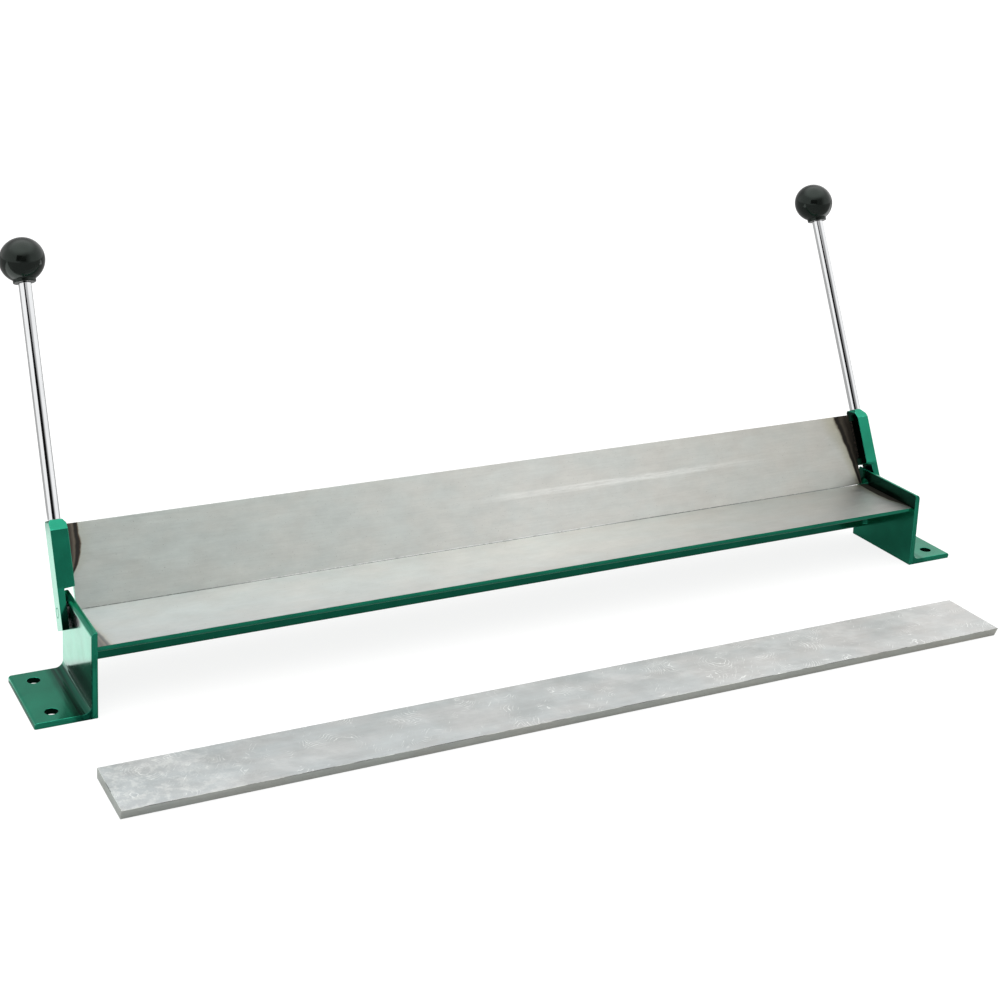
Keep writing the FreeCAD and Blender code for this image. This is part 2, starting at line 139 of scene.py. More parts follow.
class BENDER_PG_sizes(bpy.types.PropertyGroup):
    wall: length("Wall", "Thickness of the bed, leaf and bracket sections", 4.8 * MM)
    root: length("Root radius", "Inner corner radius of the rolled sections", 6 * MM)
    toe: length("Toe radius", "Rounding of the sections' inner edges", 2.4 * MM)
    bracket_toe: length("Bracket toe", "Rounding of the upright plates' outer top edge", 3.8 * MM)
    plate_corner: length("Plate corner", "Rounding of the upright plates' upper corners", 1.2 * MM)
    foot_corner: length("Foot corner", "Rounding of the feet's outer corners", 1.5 * MM)
    skirt: length("Skirt", "Depth of the bed's and the leaf's skirts", 42 * MM)
    leaf_width: length("Leaf width", "From the hinge line to the leaf's top edge", 66 * MM)
    hinge_gap: length("Hinge gap", "Distance of the leaf's heel from the hinge line", 0.15 * MM)
    edge_break: length("Edge break", "Width of the broken edges on painted parts", 0.32 * MM)
    steel_break: length("Bare edge break", "Width of the broken edges on bare steel", 0.28 * MM)
    lean: angle("Lean", "How far the leaf leans back at rest", 26)
    arm_overlap: length("Arm overlap", "How far an arm reaches over the bed's end", 0.7 * MM)
    arm_front: length("Arm front", "From the hinge line to the arm's front face", 9.6 * MM)
    arm_rear: length("Arm rear", "From the hinge line to the arm's rear face", 6.4 * MM)
    arm_top: length("Arm top", "Height of the arm above the hinge line", 70 * MM)
    arm_notch: length("Arm notch", "Height where the arm's inner half ends", 17.8 * MM)
    tongue_drop: length("Tongue drop", "How far the tongue reaches below the hinge line", 13.6 * MM)
    tongue_gap: length("Tongue gap", "Room between tongue and bracket", 1 * MM)
    crown_drop: length("Crown drop", "Height of the ground slope on the arm's top", 8 * MM)
    crown_depth: length("Crown depth", "Depth of the ground slope on the arm's top", 4.5 * MM)
    pin: length("Pin diameter", "Diameter of the hinge pins", 8 * MM)
    pin_room: length("Pin room", "Clearance round the pin in the bracket", 0.08 * MM)
    rod: length("Rod diameter", "Diameter of the handle rods", ROD_HIGH.x - ROD_LOW.x)
    thread: length("Thread diameter", "Diameter of the rods' threaded ends", 8 * MM)
    knob: length("Knob diameter", "Diameter of the ball knobs", KNOB_HIGH.x - KNOB_LOW.x)
    knob_reach: length("Knob reach", "From the hinge line to the middle of the knob", 275 * MM)
    collar: length("Collar diameter", "Diameter of the knob's collar", 18 * MM)
    collar_reach: length("Collar reach", "From the knob's middle to its collar face", 18.5 * MM)
    bush_flats: length("Insert width", "Across the flats of the knob's hexagon insert", 12 * MM)
    bar_width: length("Bar width", "Width of the loose clamp bar", 61 * MM)
    bar_bevel: length("Bar bevel", "Depth of the bevel under the bar's front edge", 3.5 * MM)
    bead: length("Weld leg", "Leg of the fillet welds", 4 * MM)
    ripple: length("Weld ripple", "Distance from ripple to ripple in a weld", 1.5 * MM)


class BENDER_PG_finish(bpy.types.PropertyGroup):
    enamel: colour("Enamel", "Green gloss enamel", (0.014, 0.255, 0.152))
    steel: colour("Ground steel", "Bare faces of bed and leaf", (0.735, 0.760, 0.730))
    bar: colour("Bar steel", "Top of the clamp bar", (0.525, 0.532, 0.545))
    bar_edge: colour("Bar edge", "Rolled and sawn edges of the clamp bar", (0.74, 0.76, 0.73))
    chrome: colour("Chrome", "Handle rods", (0.86, 0.87, 0.88))
    plastic: colour("Knob plastic", "Ball knobs", (0.0045, 0.0055, 0.0048))
    brass: colour("Brass", "Knob inserts", (0.72, 0.53, 0.25))
    pin: colour("Pin steel", "Hinge pins and spacers", (0.52, 0.53, 0.53))


class BENDER_PG_stage(bpy.types.PropertyGroup):
    floor: colour("Floor", "Pale studio floor", (0.22, 0.22, 0.218))
    glow_seen: number("Floor glow", "Light of the floor as the camera sees it", 0.85)
    glow_low: number("Floor light", "Light of the floor on the pieces", 0.15)
    glow_ends: number("Floor light at the ends", "Light of the floor beside the brackets, on the pieces", 1.6)
    sky: number("Overhead light", "Brightness of the soft light from above", 2.1)
    wall_front: number("Front wall", "Brightness of the studio in front", 0.26)
    wall_side: number("Side walls", "Brightness of the studio to both sides", 1.05)
    wall_back: number("Back wall", "Brightness of the studio behind", 0.60)
    lens: number("Lens", "Focal length on a 36 mm sensor, in millimetres", 65.236)


# ---------------------------------------------------------------- modelling helpers

def select_none():
    """Leave edit mode and deselect everything."""
    if bpy.context.mode != "OBJECT":
        bpy.ops.object.mode_set(mode="OBJECT")
    bpy.ops.object.select_all(action="DESELECT")


def select_only(piece):
    """Make one piece the active and only selected object."""
    select_none()
    piece.select_set(True)
    bpy.context.view_layer.objects.active = piece


def settle(name=None):
    """Apply the active object's place to its mesh, and name it."""
    piece = bpy.context.object
    if name:
        piece.name = piece.data.name = name
    bpy.ops.object.transform_apply(location=True, rotation=True, scale=True)
    return piece


def add_block(name, low, high):
    """A box from its lowest to its highest corner."""
    select_none()
    low, high = Vector(low), Vector(high)
    bpy.ops.mesh.primitive_cube_add(size=1, location=(low + high) / 2, scale=high - low)
    return settle(name)


def add_round(name, radius, low, high, sides=96, axis=Z, middle=(0, 0)):
    """A round bar along Z or X, from low to high, with its axis through middle."""
    select_none()
    half = (low + high) / 2
    centre = (*middle, half) if axis == Z else (half, *middle)
    turn = (0, 0, 0) if axis == Z else (0, math.pi / 2, 0)
    bpy.ops.mesh.primitive_cylinder_add(
        vertices=sides, radius=radius, depth=high - low, location=centre, rotation=turn
    )
    return settle(name)


def place(piece, matrix):
    """Move a finished shape to its place, which goes into its mesh."""
    select_only(piece)
    piece.matrix_world = matrix
    return settle()


def edit(piece):
    """Open one piece in edit mode."""
    select_only(piece)
    bpy.ops.object.mode_set(mode="EDIT")


def select_all():
    """Select the whole mesh, in edit mode."""
    bpy.ops.mesh.select_all(action="SELECT")


def pick(kind, test):
    """Select just the vertices, edges or faces that pass a test, in edit mode."""
    bpy.ops.mesh.select_mode(type=kind)
    bpy.ops.mesh.select_all(action="DESELECT")
    data = bpy.context.object.data
    mesh = bmesh.from_edit_mesh(data)
    items = {"VERT": mesh.verts, "EDGE": mesh.edges, "FACE": mesh.faces}[kind]
    found = [item for item in items if test(item)]
    if not found:
        raise RuntimeError(f"{bpy.context.object.name}: nothing to select")
    for item in found:
        item.select_set(True)
    bmesh.update_edit_mesh(data)


def middle_of(item):
    """The middle of an edge or a face."""
    if isinstance(item, bmesh.types.BMFace):
        return item.calc_center_median()
    return (item.verts[0].co + item.verts[1].co) / 2


def near(value, goal, room=2e-5):
    """True where a value is as good as its goal."""
    return abs(value - goal) < room


def sharp(edge, limit=50):
    """True for an outer edge that turns by more than the limit, in degrees."""
    return len(edge.link_faces) == 2 and edge.calc_face_angle_signed() > math.radians(limit)


def slice_at(co, normal, clear=False):
    """Cut the whole piece by a plane; the side that the normal points to goes if clear is set."""
    select_all()
    unit = Vector(normal).normalized()
    bpy.ops.mesh.bisect(plane_co=co, plane_no=unit, use_fill=clear, clear_outer=clear, threshold=1e-6)


def extrude(x, y, z):
    """Pull the selected faces or edges out by a distance along each axis."""
    bpy.ops.mesh.extrude_region_move(TRANSFORM_OT_translate={"value": (x, y, z)})


def round_off(radius, segments):
    """Round the selected edges."""
    bpy.ops.mesh.bevel(offset=radius, offset_type="OFFSET", segments=segments, affect="EDGES", clamp_overlap=False)


def round_lines(radius, segments, axis, *places):
    """Round the edges along one axis that lie at the given places, such as {Y: 0.1, Z: 0}."""
    def is_wanted(edge):
        run = edge.verts[1].co - edge.verts[0].co
        middle = middle_of(edge)
        here = any(all(near(middle[key], goal) for key, goal in at.items()) for at in places)
        return here and abs(run[axis]) > 0.999 * run.length

    pick("EDGE", is_wanted)
    round_off(radius, segments)


def mark_edges(width):
    """Write 1 into the face attribute named edge on the narrow faces along broken edges."""
    data = bpy.context.object.data
    mesh = bmesh.from_edit_mesh(data)
    layer = mesh.faces.layers.float.get("edge") or mesh.faces.layers.float.new("edge")
    for face in mesh.faces:
        narrow = face.calc_area() < 0.8 * width * max(edge.calc_length() for edge in face.edges)
        face[layer] = 1.0 if narrow else 0.0
    bmesh.update_edit_mesh(data)


def mark_painted_shade(values):
    """Write how much painted shade each face gets into a face attribute; values are (amount, test)."""
    data = bpy.context.object.data
    mesh = bmesh.from_edit_mesh(data)
    layer = mesh.faces.layers.float.new("painted_shade")
    for face in mesh.faces:
        face[layer] = max([amount for amount, test in values if test(face)], default=0.0)
    bmesh.update_edit_mesh(data)


def break_edges(width, segments=2, limit=50):
    """Break every sharp outer edge, and mark the narrow faces that this makes."""
    pick("EDGE", lambda edge: sharp(edge, limit))
    round_off(width, segments)
    mark_edges(width)


def give_material(index, test):
    """Give the faces that pass a test the material in one of the piece's slots."""
    pick("FACE", test)
    bpy.context.object.active_material_index = index
    bpy.ops.object.material_slot_assign()


def apply_modifier(piece, kind, **settings):
    """Add a modifier with its settings and apply it."""
    select_only(piece)
    bpy.ops.object.modifier_add(type=kind)
    modifier = piece.modifiers[-1]
    for key, value in settings.items():
        setattr(modifier, key, value)
    bpy.ops.object.modifier_apply(modifier=modifier.name)


def combine(piece, other, operation="DIFFERENCE"):
    """Cut another shape out of a piece, or join it on."""
    apply_modifier(piece, "BOOLEAN", object=other, operation=operation, solver="EXACT")
    select_only(other)
    bpy.ops.object.delete()
    select_only(piece)


def finish_piece(piece, node, body, smooth=32):
    """Shade a piece, put it on its body and let it stand for its CAD node."""
    select_only(piece)
    bpy.ops.object.shade_smooth_by_angle(angle=math.radians(smooth))
    apply_modifier(piece, "WEIGHTED_NORMAL", keep_sharp=True, weight=60)
    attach(piece, body)
    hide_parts(node)


def wear(piece, *names):
    """Fill a piece's material slots."""
    piece.data.materials.clear()
    for name in names:
        piece.data.materials.append(bpy.data.materials[name])


def leaning(sizes):
    """The matrix that leans an upright part of the leaf group back to its rest place."""
    return Matrix.Translation(HINGE) @ Matrix.Rotation(-sizes.lean, 4, "X")


def place_on_arm(piece, side, sizes):
    """Put a shape that was modelled round the Z axis on the line of one arm's rod."""
    place(piece, leaning(sizes) @ Matrix.Translation((side * ROD_X, 0, 0)))


# ---------------------------------------------------------------- node helpers

class Net:
    """A tree of shader nodes, with a short way to add each kind of node."""

    def __init__(self, tree):
        self.tree = tree

    def feed(self, socket, value):
        """Link a socket to an output, or set its value."""
        if isinstance(value, bpy.types.NodeSocket):
            self.tree.links.new(value, socket)
        elif hasattr(value, "__len__") and len(value) == 3 and socket.type == "RGBA":
            socket.default_value = (*value, 1)
        else:
            socket.default_value = value

    def fill(self, sockets, values):
        """Feed several sockets, by their names or numbers."""
        for key, value in values.items():
            self.feed(sockets[key], value)

    def add(self, kind, inputs=None, **settings):
        """A node with its settings and inputs filled."""
        node = self.tree.nodes.new("ShaderNode" + kind)
        for key, value in settings.items():
            setattr(node, key, value)
        self.fill(node.inputs, inputs or {})
        return node

    def calc(self, operation, *values, clamp=False):
        """One step of arithmetic."""
        return self.add("Math", dict(enumerate(values)), operation=operation, use_clamp=clamp).outputs[0]

    def times(self, total, *values):
        """The product of all values."""
        for value in values:
            total = self.calc("MULTIPLY", total, value)
        return total

    def plus(self, total, *values):
        """The sum of all values."""
        for value in values:
            total = self.calc("ADD", total, value)
        return total

    def minus(self, first, second):
        """One value less another."""
        return self.calc("SUBTRACT", first, second)

    def size_of(self, value):
        """A value without its sign."""
        return self.calc("ABSOLUTE", value)

    def larger(self, first, second, clamp=False):
        """The larger of two values."""
        return self.calc("MAXIMUM", first, second, clamp=clamp)

    def span(self, value, low, high, to_low=0.0, to_high=1.0, kind="SMOOTHSTEP"):
        """A value brought from one range to another and kept inside it."""
        keys = {"Value": value, "From Min": low, "From Max": high, "To Min": to_low, "To Max": to_high}
        return self.add("MapRange", keys, interpolation_type=kind).outputs[0]

    def between(self, mask, low, high):
        """A value that goes from low to high as a mask goes from 0 to 1."""
        return self.span(mask, 0.0, 1.0, low, high, "LINEAR")

    def fade(self, value, low, high):
        """A value that falls from 1 to 0 over a range."""
        return self.span(value, low, high, 1.0, 0.0)

    def mix(self, factor, first, second, how="MIX"):
        """Two colours mixed."""
        return self.add("Mix", {0: factor, 6: first, 7: second}, data_type="RGBA", blend_type=how).outputs[2]

    def tinted(self, shade, by):
        """A colour multiplied by another."""
        return self.mix(1.0, shade, by, "MULTIPLY")

    def grey(self, value):
        """A grey of one brightness."""
        return self.add("CombineColor", {0: value, 1: value, 2: value}).outputs[0]

    def ramp(self, value, stops, kind="LINEAR"):
        """The colour of a ramp; its stops are (position, colour)."""
        node = self.add("ValToRGB", {"Fac": value})
        node.color_ramp.interpolation = kind
        elements = node.color_ramp.elements
        while len(elements) < len(stops):
            elements.new(0.5)
        for element, (at, shade) in zip(elements, stops):
            element.position, element.color = at, (*shade, 1)
        return node.outputs[0]

    def noise(self, vector, scale, detail=2.0, rough=0.5, seed=0.0):
        """A noise mask from 0 to 1 about the middle; the seed moves it elsewhere."""
        keys = {"Vector": vector, "W": seed, "Scale": scale, "Detail": detail, "Roughness": rough}
        return self.add("TexNoise", keys, noise_dimensions="4D").outputs["Fac"]

    def parts(self, vector):
        """The X, Y and Z of a vector."""
        return self.add("SeparateXYZ", {0: vector}).outputs

    def face_mark(self, name):
        """A number that the modelling wrote on the faces."""
        return self.add("Attribute", attribute_name=name).outputs["Fac"]

    def turned(self, vector, turn):
        """Coordinates turned round the origin."""
        return self.add("Mapping", {"Vector": vector, "Rotation": turn}).outputs[0]

    def scaled(self, vector, scale):
        """Coordinates scaled by a different amount along each axis."""
        return self.add("VectorMath", {0: vector, 1: scale}, operation="MULTIPLY").outputs[0]

    def stretched(self, vector, scale, turn=ORIGIN):
        """Coordinates turned and then scaled."""
        return self.scaled(self.turned(vector, turn), scale)

    def drawn_out(self, vector, run, width):
        """Coordinates in which noise makes lines along X of about a given run and width."""
        slow, quick = (self.calc("DIVIDE", 1.0, distance) for distance in (run, width))
        return self.scaled(vector, self.add("CombineXYZ", {"X": slow, "Y": quick, "Z": quick}).outputs[0])

    def use(self, name, inputs):
        """The outputs of a node group placed in the tree."""
        node = self.add("Group", node_tree=bpy.data.node_groups[name])
        self.fill(node.inputs, inputs)
        return node.outputs

    def grain(self, where, run, width):
        """Ground or rolled lines."""
        return self.use("ground_grain", {"Place": where, "Line length": run, "Line width": width})

    def scratches(self, where, turn, seed, run, width, bunching):
        """The mask of one direction of scratches."""
        keys = {"Place": where, "Turn": turn, "Seed": seed, "Length": run, "Width": width, "Bunching": bunching}
        return self.use("scratches", keys)["Mask"]

    def coat(self, shader, shade, metallic, rough, relief, strength, distance):
        """Feed the shader with a colour, its gloss and a relief; the distance is in metres."""
        self.fill(shader, {"Base Color": shade, "Metallic": metallic, "Roughness": rough})
        keys = {"Strength": strength, "Distance": distance, "Height": relief}
        self.feed(shader["Normal"], self.add("Bump", keys).outputs[0])


def new_group(name, inputs, *outputs):
    """A node group with named sockets: inputs with their first values, and outputs by name."""
    tree = bpy.data.node_groups.new(name, "ShaderNodeTree")
    for label, value in inputs.items():
        kind = {1: "Float", 3: "Vector", 4: "Color"}[len(value) if isinstance(value, tuple) else 1]
        socket = tree.interface.new_socket(label, in_out="INPUT", socket_type="NodeSocket" + kind)
        socket.default_value = value
    for label in outputs:
        kind = "Color" if label == "Colour" else "Float"
        tree.interface.new_socket(label, in_out="OUTPUT", socket_type="NodeSocket" + kind)
    given = tree.nodes.new("NodeGroupInput").outputs
    result = tree.nodes.new("NodeGroupOutput").inputs
    return Net(tree), given, result


def build_grain_group():
    """Fine lines along X, as grinding and rolling leave them."""
    inputs = {"Place": ORIGIN, "Line length": 0.05, "Line width": 0.0005}
    net, given, result = new_group("ground_grain", inputs, "Lines", "Height")
    where = net.drawn_out(given["Place"], given["Line length"], given["Line width"])
    fine = net.noise(where, 1.0, 3.0, 0.6)
    broad = net.noise(where, 0.22, 2.0, 0.5, 3.0)
    both = net.calc("MULTIPLY_ADD", broad, 0.45, net.times(fine, 0.55))
    net.fill(result, {"Lines": net.span(both, 0.34, 0.66, kind="LINEAR"), "Height": fine})


def build_scratch_group():
    """Thin straight scratches in loose bunches, running along the turned X axis."""
    inputs = {"Place": ORIGIN, "Turn": ORIGIN, "Seed": 0.0, "Length": 0.02, "Width": 0.0002, "Bunching": 0.5}
    net, given, result = new_group("scratches", inputs, "Mask")
    seed, bunching = given["Seed"], given["Bunching"]
    where = net.drawn_out(net.turned(given["Place"], given["Turn"]), given["Length"], given["Width"])
    lines = net.span(net.noise(where, 1.0, 1.0, 0.5, seed), 0.66, 0.74)
    bunch = net.noise(given["Place"], 28.0, 2.0, 0.5, seed)
    here = net.span(bunch, bunching, net.plus(bunching, 0.12))
    net.fill(result, {"Mask": net.times(lines, here)})


def build_swirl_group():
    """Short arcs, as a sanding disc leaves them."""
    inputs = {"Place": ORIGIN, "Disc": 0.03, "Pitch": 0.001, "Seed": 0.0}
    net, given, result = new_group("sanding_arcs", inputs, "Mask")
    where, seed = given["Place"], given["Seed"]
    keys = {"Vector": where, "W": seed, "Scale": net.calc("DIVIDE", 1.0, given["Disc"])}
    cell = net.add("TexVoronoi", keys, voronoi_dimensions="4D")
    radius = net.times(cell.outputs["Distance"], given["Disc"])
    wobble = net.times(net.noise(where, 160.0, 2.0, 0.5, seed), 2.5)
    turns = net.plus(net.calc("DIVIDE", radius, given["Pitch"]), wobble)
    lines = net.span(net.calc("SINE", net.times(turns, 2 * math.pi)), 0.72, 0.98)
    here = net.span(net.noise(where, 55.0, 2.0, 0.6, seed), 0.52, 0.66)
    net.fill(result, {"Mask": net.times(lines, here)})


def build_mottle_group():
    """Slow changes of tone, from cool to warm along the part, with fine dark specks."""
    inputs = {"Colour": (0.6, 0.6, 0.6, 1), "Place": ORIGIN, "Specks": 0.5}
    net, given, result = new_group("steel_tone", inputs, "Colour", "Cloud")
    where = given["Place"]
    warm = net.span(net.parts(where)["X"], -0.38, 0.30, kind="LINEAR")
    toned = net.tinted(given["Colour"], net.mix(warm, (0.975, 1.00, 0.985), (1.010, 1.0, 0.955)))
    cloud = net.noise(net.stretched(where, (30.0, 55.0, 55.0)), 1.0, 5.0, 0.68)
    drift = net.span(net.noise(net.stretched(where, (22.0, 40.0, 40.0)), 1.0, 3.0, 0.5, 12.0), 0.35, 0.65)
    tinged = net.tinted(toned, net.mix(drift, (1.012, 0.992, 0.985), (0.986, 1.004, 1.012)))
    clouded = net.tinted(tinged, net.grey(net.span(cloud, 0.3, 0.7, 0.91, 1.07, "LINEAR")))
    speck = net.noise(where, 900.0, 1.0, 0.4, 7.0)
    spots = net.times(net.span(speck, 0.69, 0.75), given["Specks"])
    net.fill(result, {"Colour": net.mix(spots, clouded, (0.16, 0.15, 0.13)), "Cloud": cloud})


def build_tint_group():
    """The coloured bands that welding heat leaves on bare steel, by distance from the weld; their near-black parts are
    partly painted shade.
    """
    inputs = {"Colour": (0.6, 0.6, 0.6, 1), "Distance": 1.0, "Width": 0.01, "Place": ORIGIN, "Depth": 1.0,
              "Black": 0.0, "Soft": 0.08}
    net, given, result = new_group("heat_tint", inputs, "Colour", "Mask")
    steel, black, soft = given["Colour"], given["Black"], given["Soft"]
    ragged = net.times(net.minus(net.noise(given["Place"], 90.0, 3.0, 0.55), 0.5), 0.34)
    share = net.plus(net.calc("DIVIDE", given["Distance"], given["Width"]), ragged)
    bands = net.ramp(share, (
        (0.00, (0.014, 0.012, 0.010)), (0.22, (0.115, 0.092, 0.070)), (0.40, (0.055, 0.042, 0.033)),
        (0.60, (0.175, 0.145, 0.112)), (0.73, (0.016, 0.012, 0.010)), (0.88, (0.012, 0.009, 0.008)),
        (0.96, (0.110, 0.078, 0.052)), (1.00, (0.340, 0.290, 0.210)),
    ))
    mask = net.times(net.fade(share, net.minus(1.0, soft), net.plus(1.0, soft)), given["Depth"])
    most = net.calc("MULTIPLY_ADD", black, 0.65, 0.15)
    straw = net.minus(most, net.times(net.span(share, 0.9, 2.0), most))
    haze = net.mix(straw, steel, net.tinted(steel, (0.74, 0.70, 0.54)))
    scorched = net.mix(black, bands, (0.007, 0.006, 0.005))
    net.fill(result, {"Colour": net.mix(mask, haze, scorched), "Mask": mask})


def build_enamel_group():
    """Sprayed gloss enamel: slow runs, orange peel, dust, thin paint on edges lightened as a painted highlight, and
    painted shade where it is given.
    """
    inputs = {"Colour": (0.01, 0.12, 0.07, 1), "Place": ORIGIN, "Edge": 0.0, "Thin edge and sheen": 0.6, "Lumps": 0.2,
              "Painted shade": 0.0, "Ridges": 0.0, "Root": 0.0}
    net, given, result = new_group("enamel_skin", inputs, "Colour", "Metallic", "Roughness", "Height")
    green, where, painted_shade, root = (given[key] for key in ("Colour", "Place", "Painted shade", "Root"))
    pool = net.noise(where, 42.0, 2.0, 0.5)
    body = net.tinted(green, net.grey(net.span(pool, 0.3, 0.7, 0.86, 1.14, "LINEAR")))
    patch = net.span(net.noise(where, 210.0, 3.0, 0.6, 2.0), 0.42, 0.66)
    # thin paint on the broken edges, lightened to mint as a painted highlight
    thin = net.times(given["Edge"], patch, given["Thin edge and sheen"])
    edge_thin_and_sheen = net.mix(thin, body, net.tinted(green, (4.0, 2.1, 2.4)))
    dust = net.span(net.noise(where, 1500.0, 1.0, 0.4, 5.0), 0.72, 0.78)
    dusty = net.mix(net.times(dust, 0.35), edge_thin_and_sheen, (0.16, 0.30, 0.24))
    rolled = net.noise(net.stretched(where, (420.0, 7.0, 420.0)), 1.0, 1.0, 0.4, 8.0)
    # painted shade at the root of the feet, in streaks along Y
    root_shade_streaks = net.times(net.span(rolled, 0.42, 0.60, 0.97, 0.68), root)
    root_shaded = net.mix(root_shade_streaks, dusty, (0.003, 0.050, 0.032))
    smear = net.noise(where, 60.0, 3.0, 0.6, 9.0)
    peel = net.times(net.noise(where, 420.0, 1.0, 0.5), 0.25)
    runs = net.times(net.noise(net.stretched(where, (90.0, 90.0, 22.0)), 1.0, 1.0), 0.5)
    lumps = net.times(net.noise(where, 1100.0, 2.0, 0.6, 4.0), given["Lumps"])
    ridges = net.times(rolled, net.times(given["Ridges"], 4.0))
    net.fill(result, {
        # painted shade darkens the colour and makes the paint more metallic
        "Colour": net.mix(painted_shade, root_shaded, (0.002, 0.012, 0.008)),
        "Metallic": net.between(net.larger(painted_shade, root), 0.86, 1.0),
        "Roughness": net.span(smear, 0.35, 0.70, 0.12, 0.20),
        "Height": net.plus(net.plus(peel, runs), net.plus(lumps, net.times(dust, 0.12)), ridges),
    })


def new_material(name):
    """An empty material: its nodes, the sockets of its shader and the object's own coordinates."""
    if name in bpy.data.materials:
        raise RuntimeError(f"{name}: the name is taken")
    material = bpy.data.materials.new(name)
    material.use_nodes = True
    net = Net(material.node_tree)
    return net, net.tree.nodes["Principled BSDF"].inputs, net.add("TexCoord").outputs["Object"]


def make_enamel(name, paint, lumps, thin):
    """Green gloss enamel, with painted shade round the hinge, in the bolt holes and at the root of the feet."""
    net, shader, where = new_material(name)
    x, y, z = net.parts(where)
    across = net.size_of(x)
    # painted shade on the inner faces of the plates, above the hinge line
    inside = net.times(net.fade(across, *INNER_FACE), net.span(z, 0.0535, 0.0550),
                       net.span(z, 0.055, 0.068, 1.15, 0.95))
    # painted shade on their outer faces, above a ragged slanting line behind the front edge
    slant = net.calc("MULTIPLY_ADD", y, PLATE_SLANT, z)
    ragged = net.calc("MULTIPLY_ADD", net.noise(where, 260.0, 3.0, 0.6, 13.0), 0.004, slant)
    outer = net.span(across, *OUTER_FACE)
    pocket_shade = net.times(net.span(ragged, 0.0560, 0.0585), outer, net.span(y, -0.014, -0.006))
    # painted shade on the lower end of the arms' fronts
    tail = net.times(net.fade(z, 0.046, 0.064), outer)
    faces = net.face_mark("painted_shade")
    reach = net.span(faces, ARM_FRONT + 0.05, PLATE_INNER - 0.02, tail, net.larger(inside, pocket_shade), "LINEAR")
    # painted shade all over the walls of the bolt holes
    holes = net.span(faces, SHADED_SIDE + 0.2, HOLE_WALL - 0.2)
    painted_shade = net.larger(net.times(faces, reach), holes, clamp=True)
    # the bend from plate to foot: the ridges that rolling left, as relief, and painted shade, weaker on the right
    bend = net.times(net.fade(across, *FOOT_ROOT), net.span(across, *FOOT_SIDE))
    ridges = net.times(bend, net.fade(z, 0.009, 0.020))
    root = net.times(bend, net.fade(slant, 0.022, 0.032), net.span(x, -0.01, 0.01, 1.0, 0.4))
    skin = net.use("enamel_skin", {
        "Colour": paint, "Place": where, "Edge": net.face_mark("edge"), "Thin edge and sheen": thin, "Lumps": lumps,
        "Painted shade": painted_shade, "Ridges": ridges, "Root": root,
    })
    net.coat(shader, skin["Colour"], skin["Metallic"], skin["Roughness"], skin["Height"], 0.35, 0.00018)
    net.fill(shader, {"IOR": 1.5})


def make_burnt(name):
    """Bare weld metal, scaled and blackened by the heat."""
    net, shader, where = new_material(name)
    scale = net.noise(where, 700.0, 3.0, 0.6)
    shade = net.mix(net.span(scale, 0.42, 0.68), (0.010, 0.009, 0.008), (0.055, 0.040, 0.030))
    net.coat(shader, shade, 0.5, net.span(scale, 0.3, 0.7, 0.34, 0.62), scale, 0.6, 0.0003)


def make_ground_steel(name, steel, origin, turn, tints, shade_stops, rub=None):
    """Bare ground steel with heat tint at both ends. The turned coordinates have Z leading away from the hinge."""
    net, shader, where = new_material(name)
    keys = {"Vector": where, "Location": origin, "Rotation": (turn, 0, 0)}
    local = net.add("Mapping", keys, vector_type="TEXTURE").outputs[0]
    x, _, z = net.parts(local)
    grain = net.grain(local, 0.0055, 0.00032)
    tone = net.use("steel_tone", {"Colour": steel, "Place": local, "Specks": 0.5})
    # painted shade along the part, from the given stops
    toned = net.tinted(tone["Colour"], net.ramp(net.span(x, -BED_HIGH.x, BED_HIGH.x, kind="LINEAR"), shade_stops))
    lined = net.mix(0.12, toned, net.mix(grain["Lines"], (0.30, 0.305, 0.29), (0.88, 0.89, 0.88)))
    marks = net.scratches(local, (0, 0.35, 0), 0.0, 0.012, 0.0003, 0.54)
    result = net.mix(net.times(marks, 0.45), lined, (0.84, 0.85, 0.84))
    if rub:
        height, low, high = rub
        band = net.span(net.size_of(net.minus(z, height)), 0.0008, 0.0042, 1.0, 0.0)
        run = net.times(net.span(x, low, low + 0.12), net.fade(x, high - 0.16, high))
        streak = net.times(band, run, grain["Lines"], 0.75)
        result = net.mix(streak, result, (0.97, 0.98, 0.95))
    # painted highlight and painted shade along the edge at the hinge line: a bright line in the middle, a dark line
    # towards both ends
    middle = net.span(net.size_of(net.minus(x, -0.07)), 0.14, 0.24, 1.0, 0.0)
    thin, thick = (net.span(middle, 0.0, 1.0, *widths) for widths in ((0.0002, 0.0006), (0.0006, 0.0011)))
    broken = net.span(net.noise(local, 200.0, 2.0, 0.6, 6.0), 0.38, 0.52, 0.10, 0.95)
    seam_highlight_and_shade = net.times(net.fade(z, thin, thick), broken)
    result = net.mix(seam_highlight_and_shade, result, net.mix(middle, (0.050, 0.042, 0.038), (0.97, 0.98, 0.96)))
    masks = []
    for side, depth, black, soft, widths in tints:
        stops = [(height / TINT_HIGH, [width / TINT_WIDE] * 3) for height, width in widths]
        outline = net.ramp(net.calc("DIVIDE", z, TINT_HIGH * MM), stops, "B_SPLINE")
        tint = net.use("heat_tint", {
            "Colour": result, "Distance": net.plus(net.times(x, -side), BED_HIGH.x),
            "Width": net.calc("MULTIPLY_ADD", outline, TINT_WIDE * MM, 0.0001), "Place": local,
            "Depth": depth, "Black": black, "Soft": soft,
        })
        result = tint["Colour"]
        masks.append(tint["Mask"])
    burnt = net.calc("ADD", *masks, clamp=True)
    metallic = net.between(burnt, 1.0, 0.85)
    rough = net.plus(net.between(grain["Lines"], 0.38, 0.50), net.times(burnt, 0.08))
    net.coat(shader, result, metallic, rough, grain["Height"], 0.25, 0.00006)


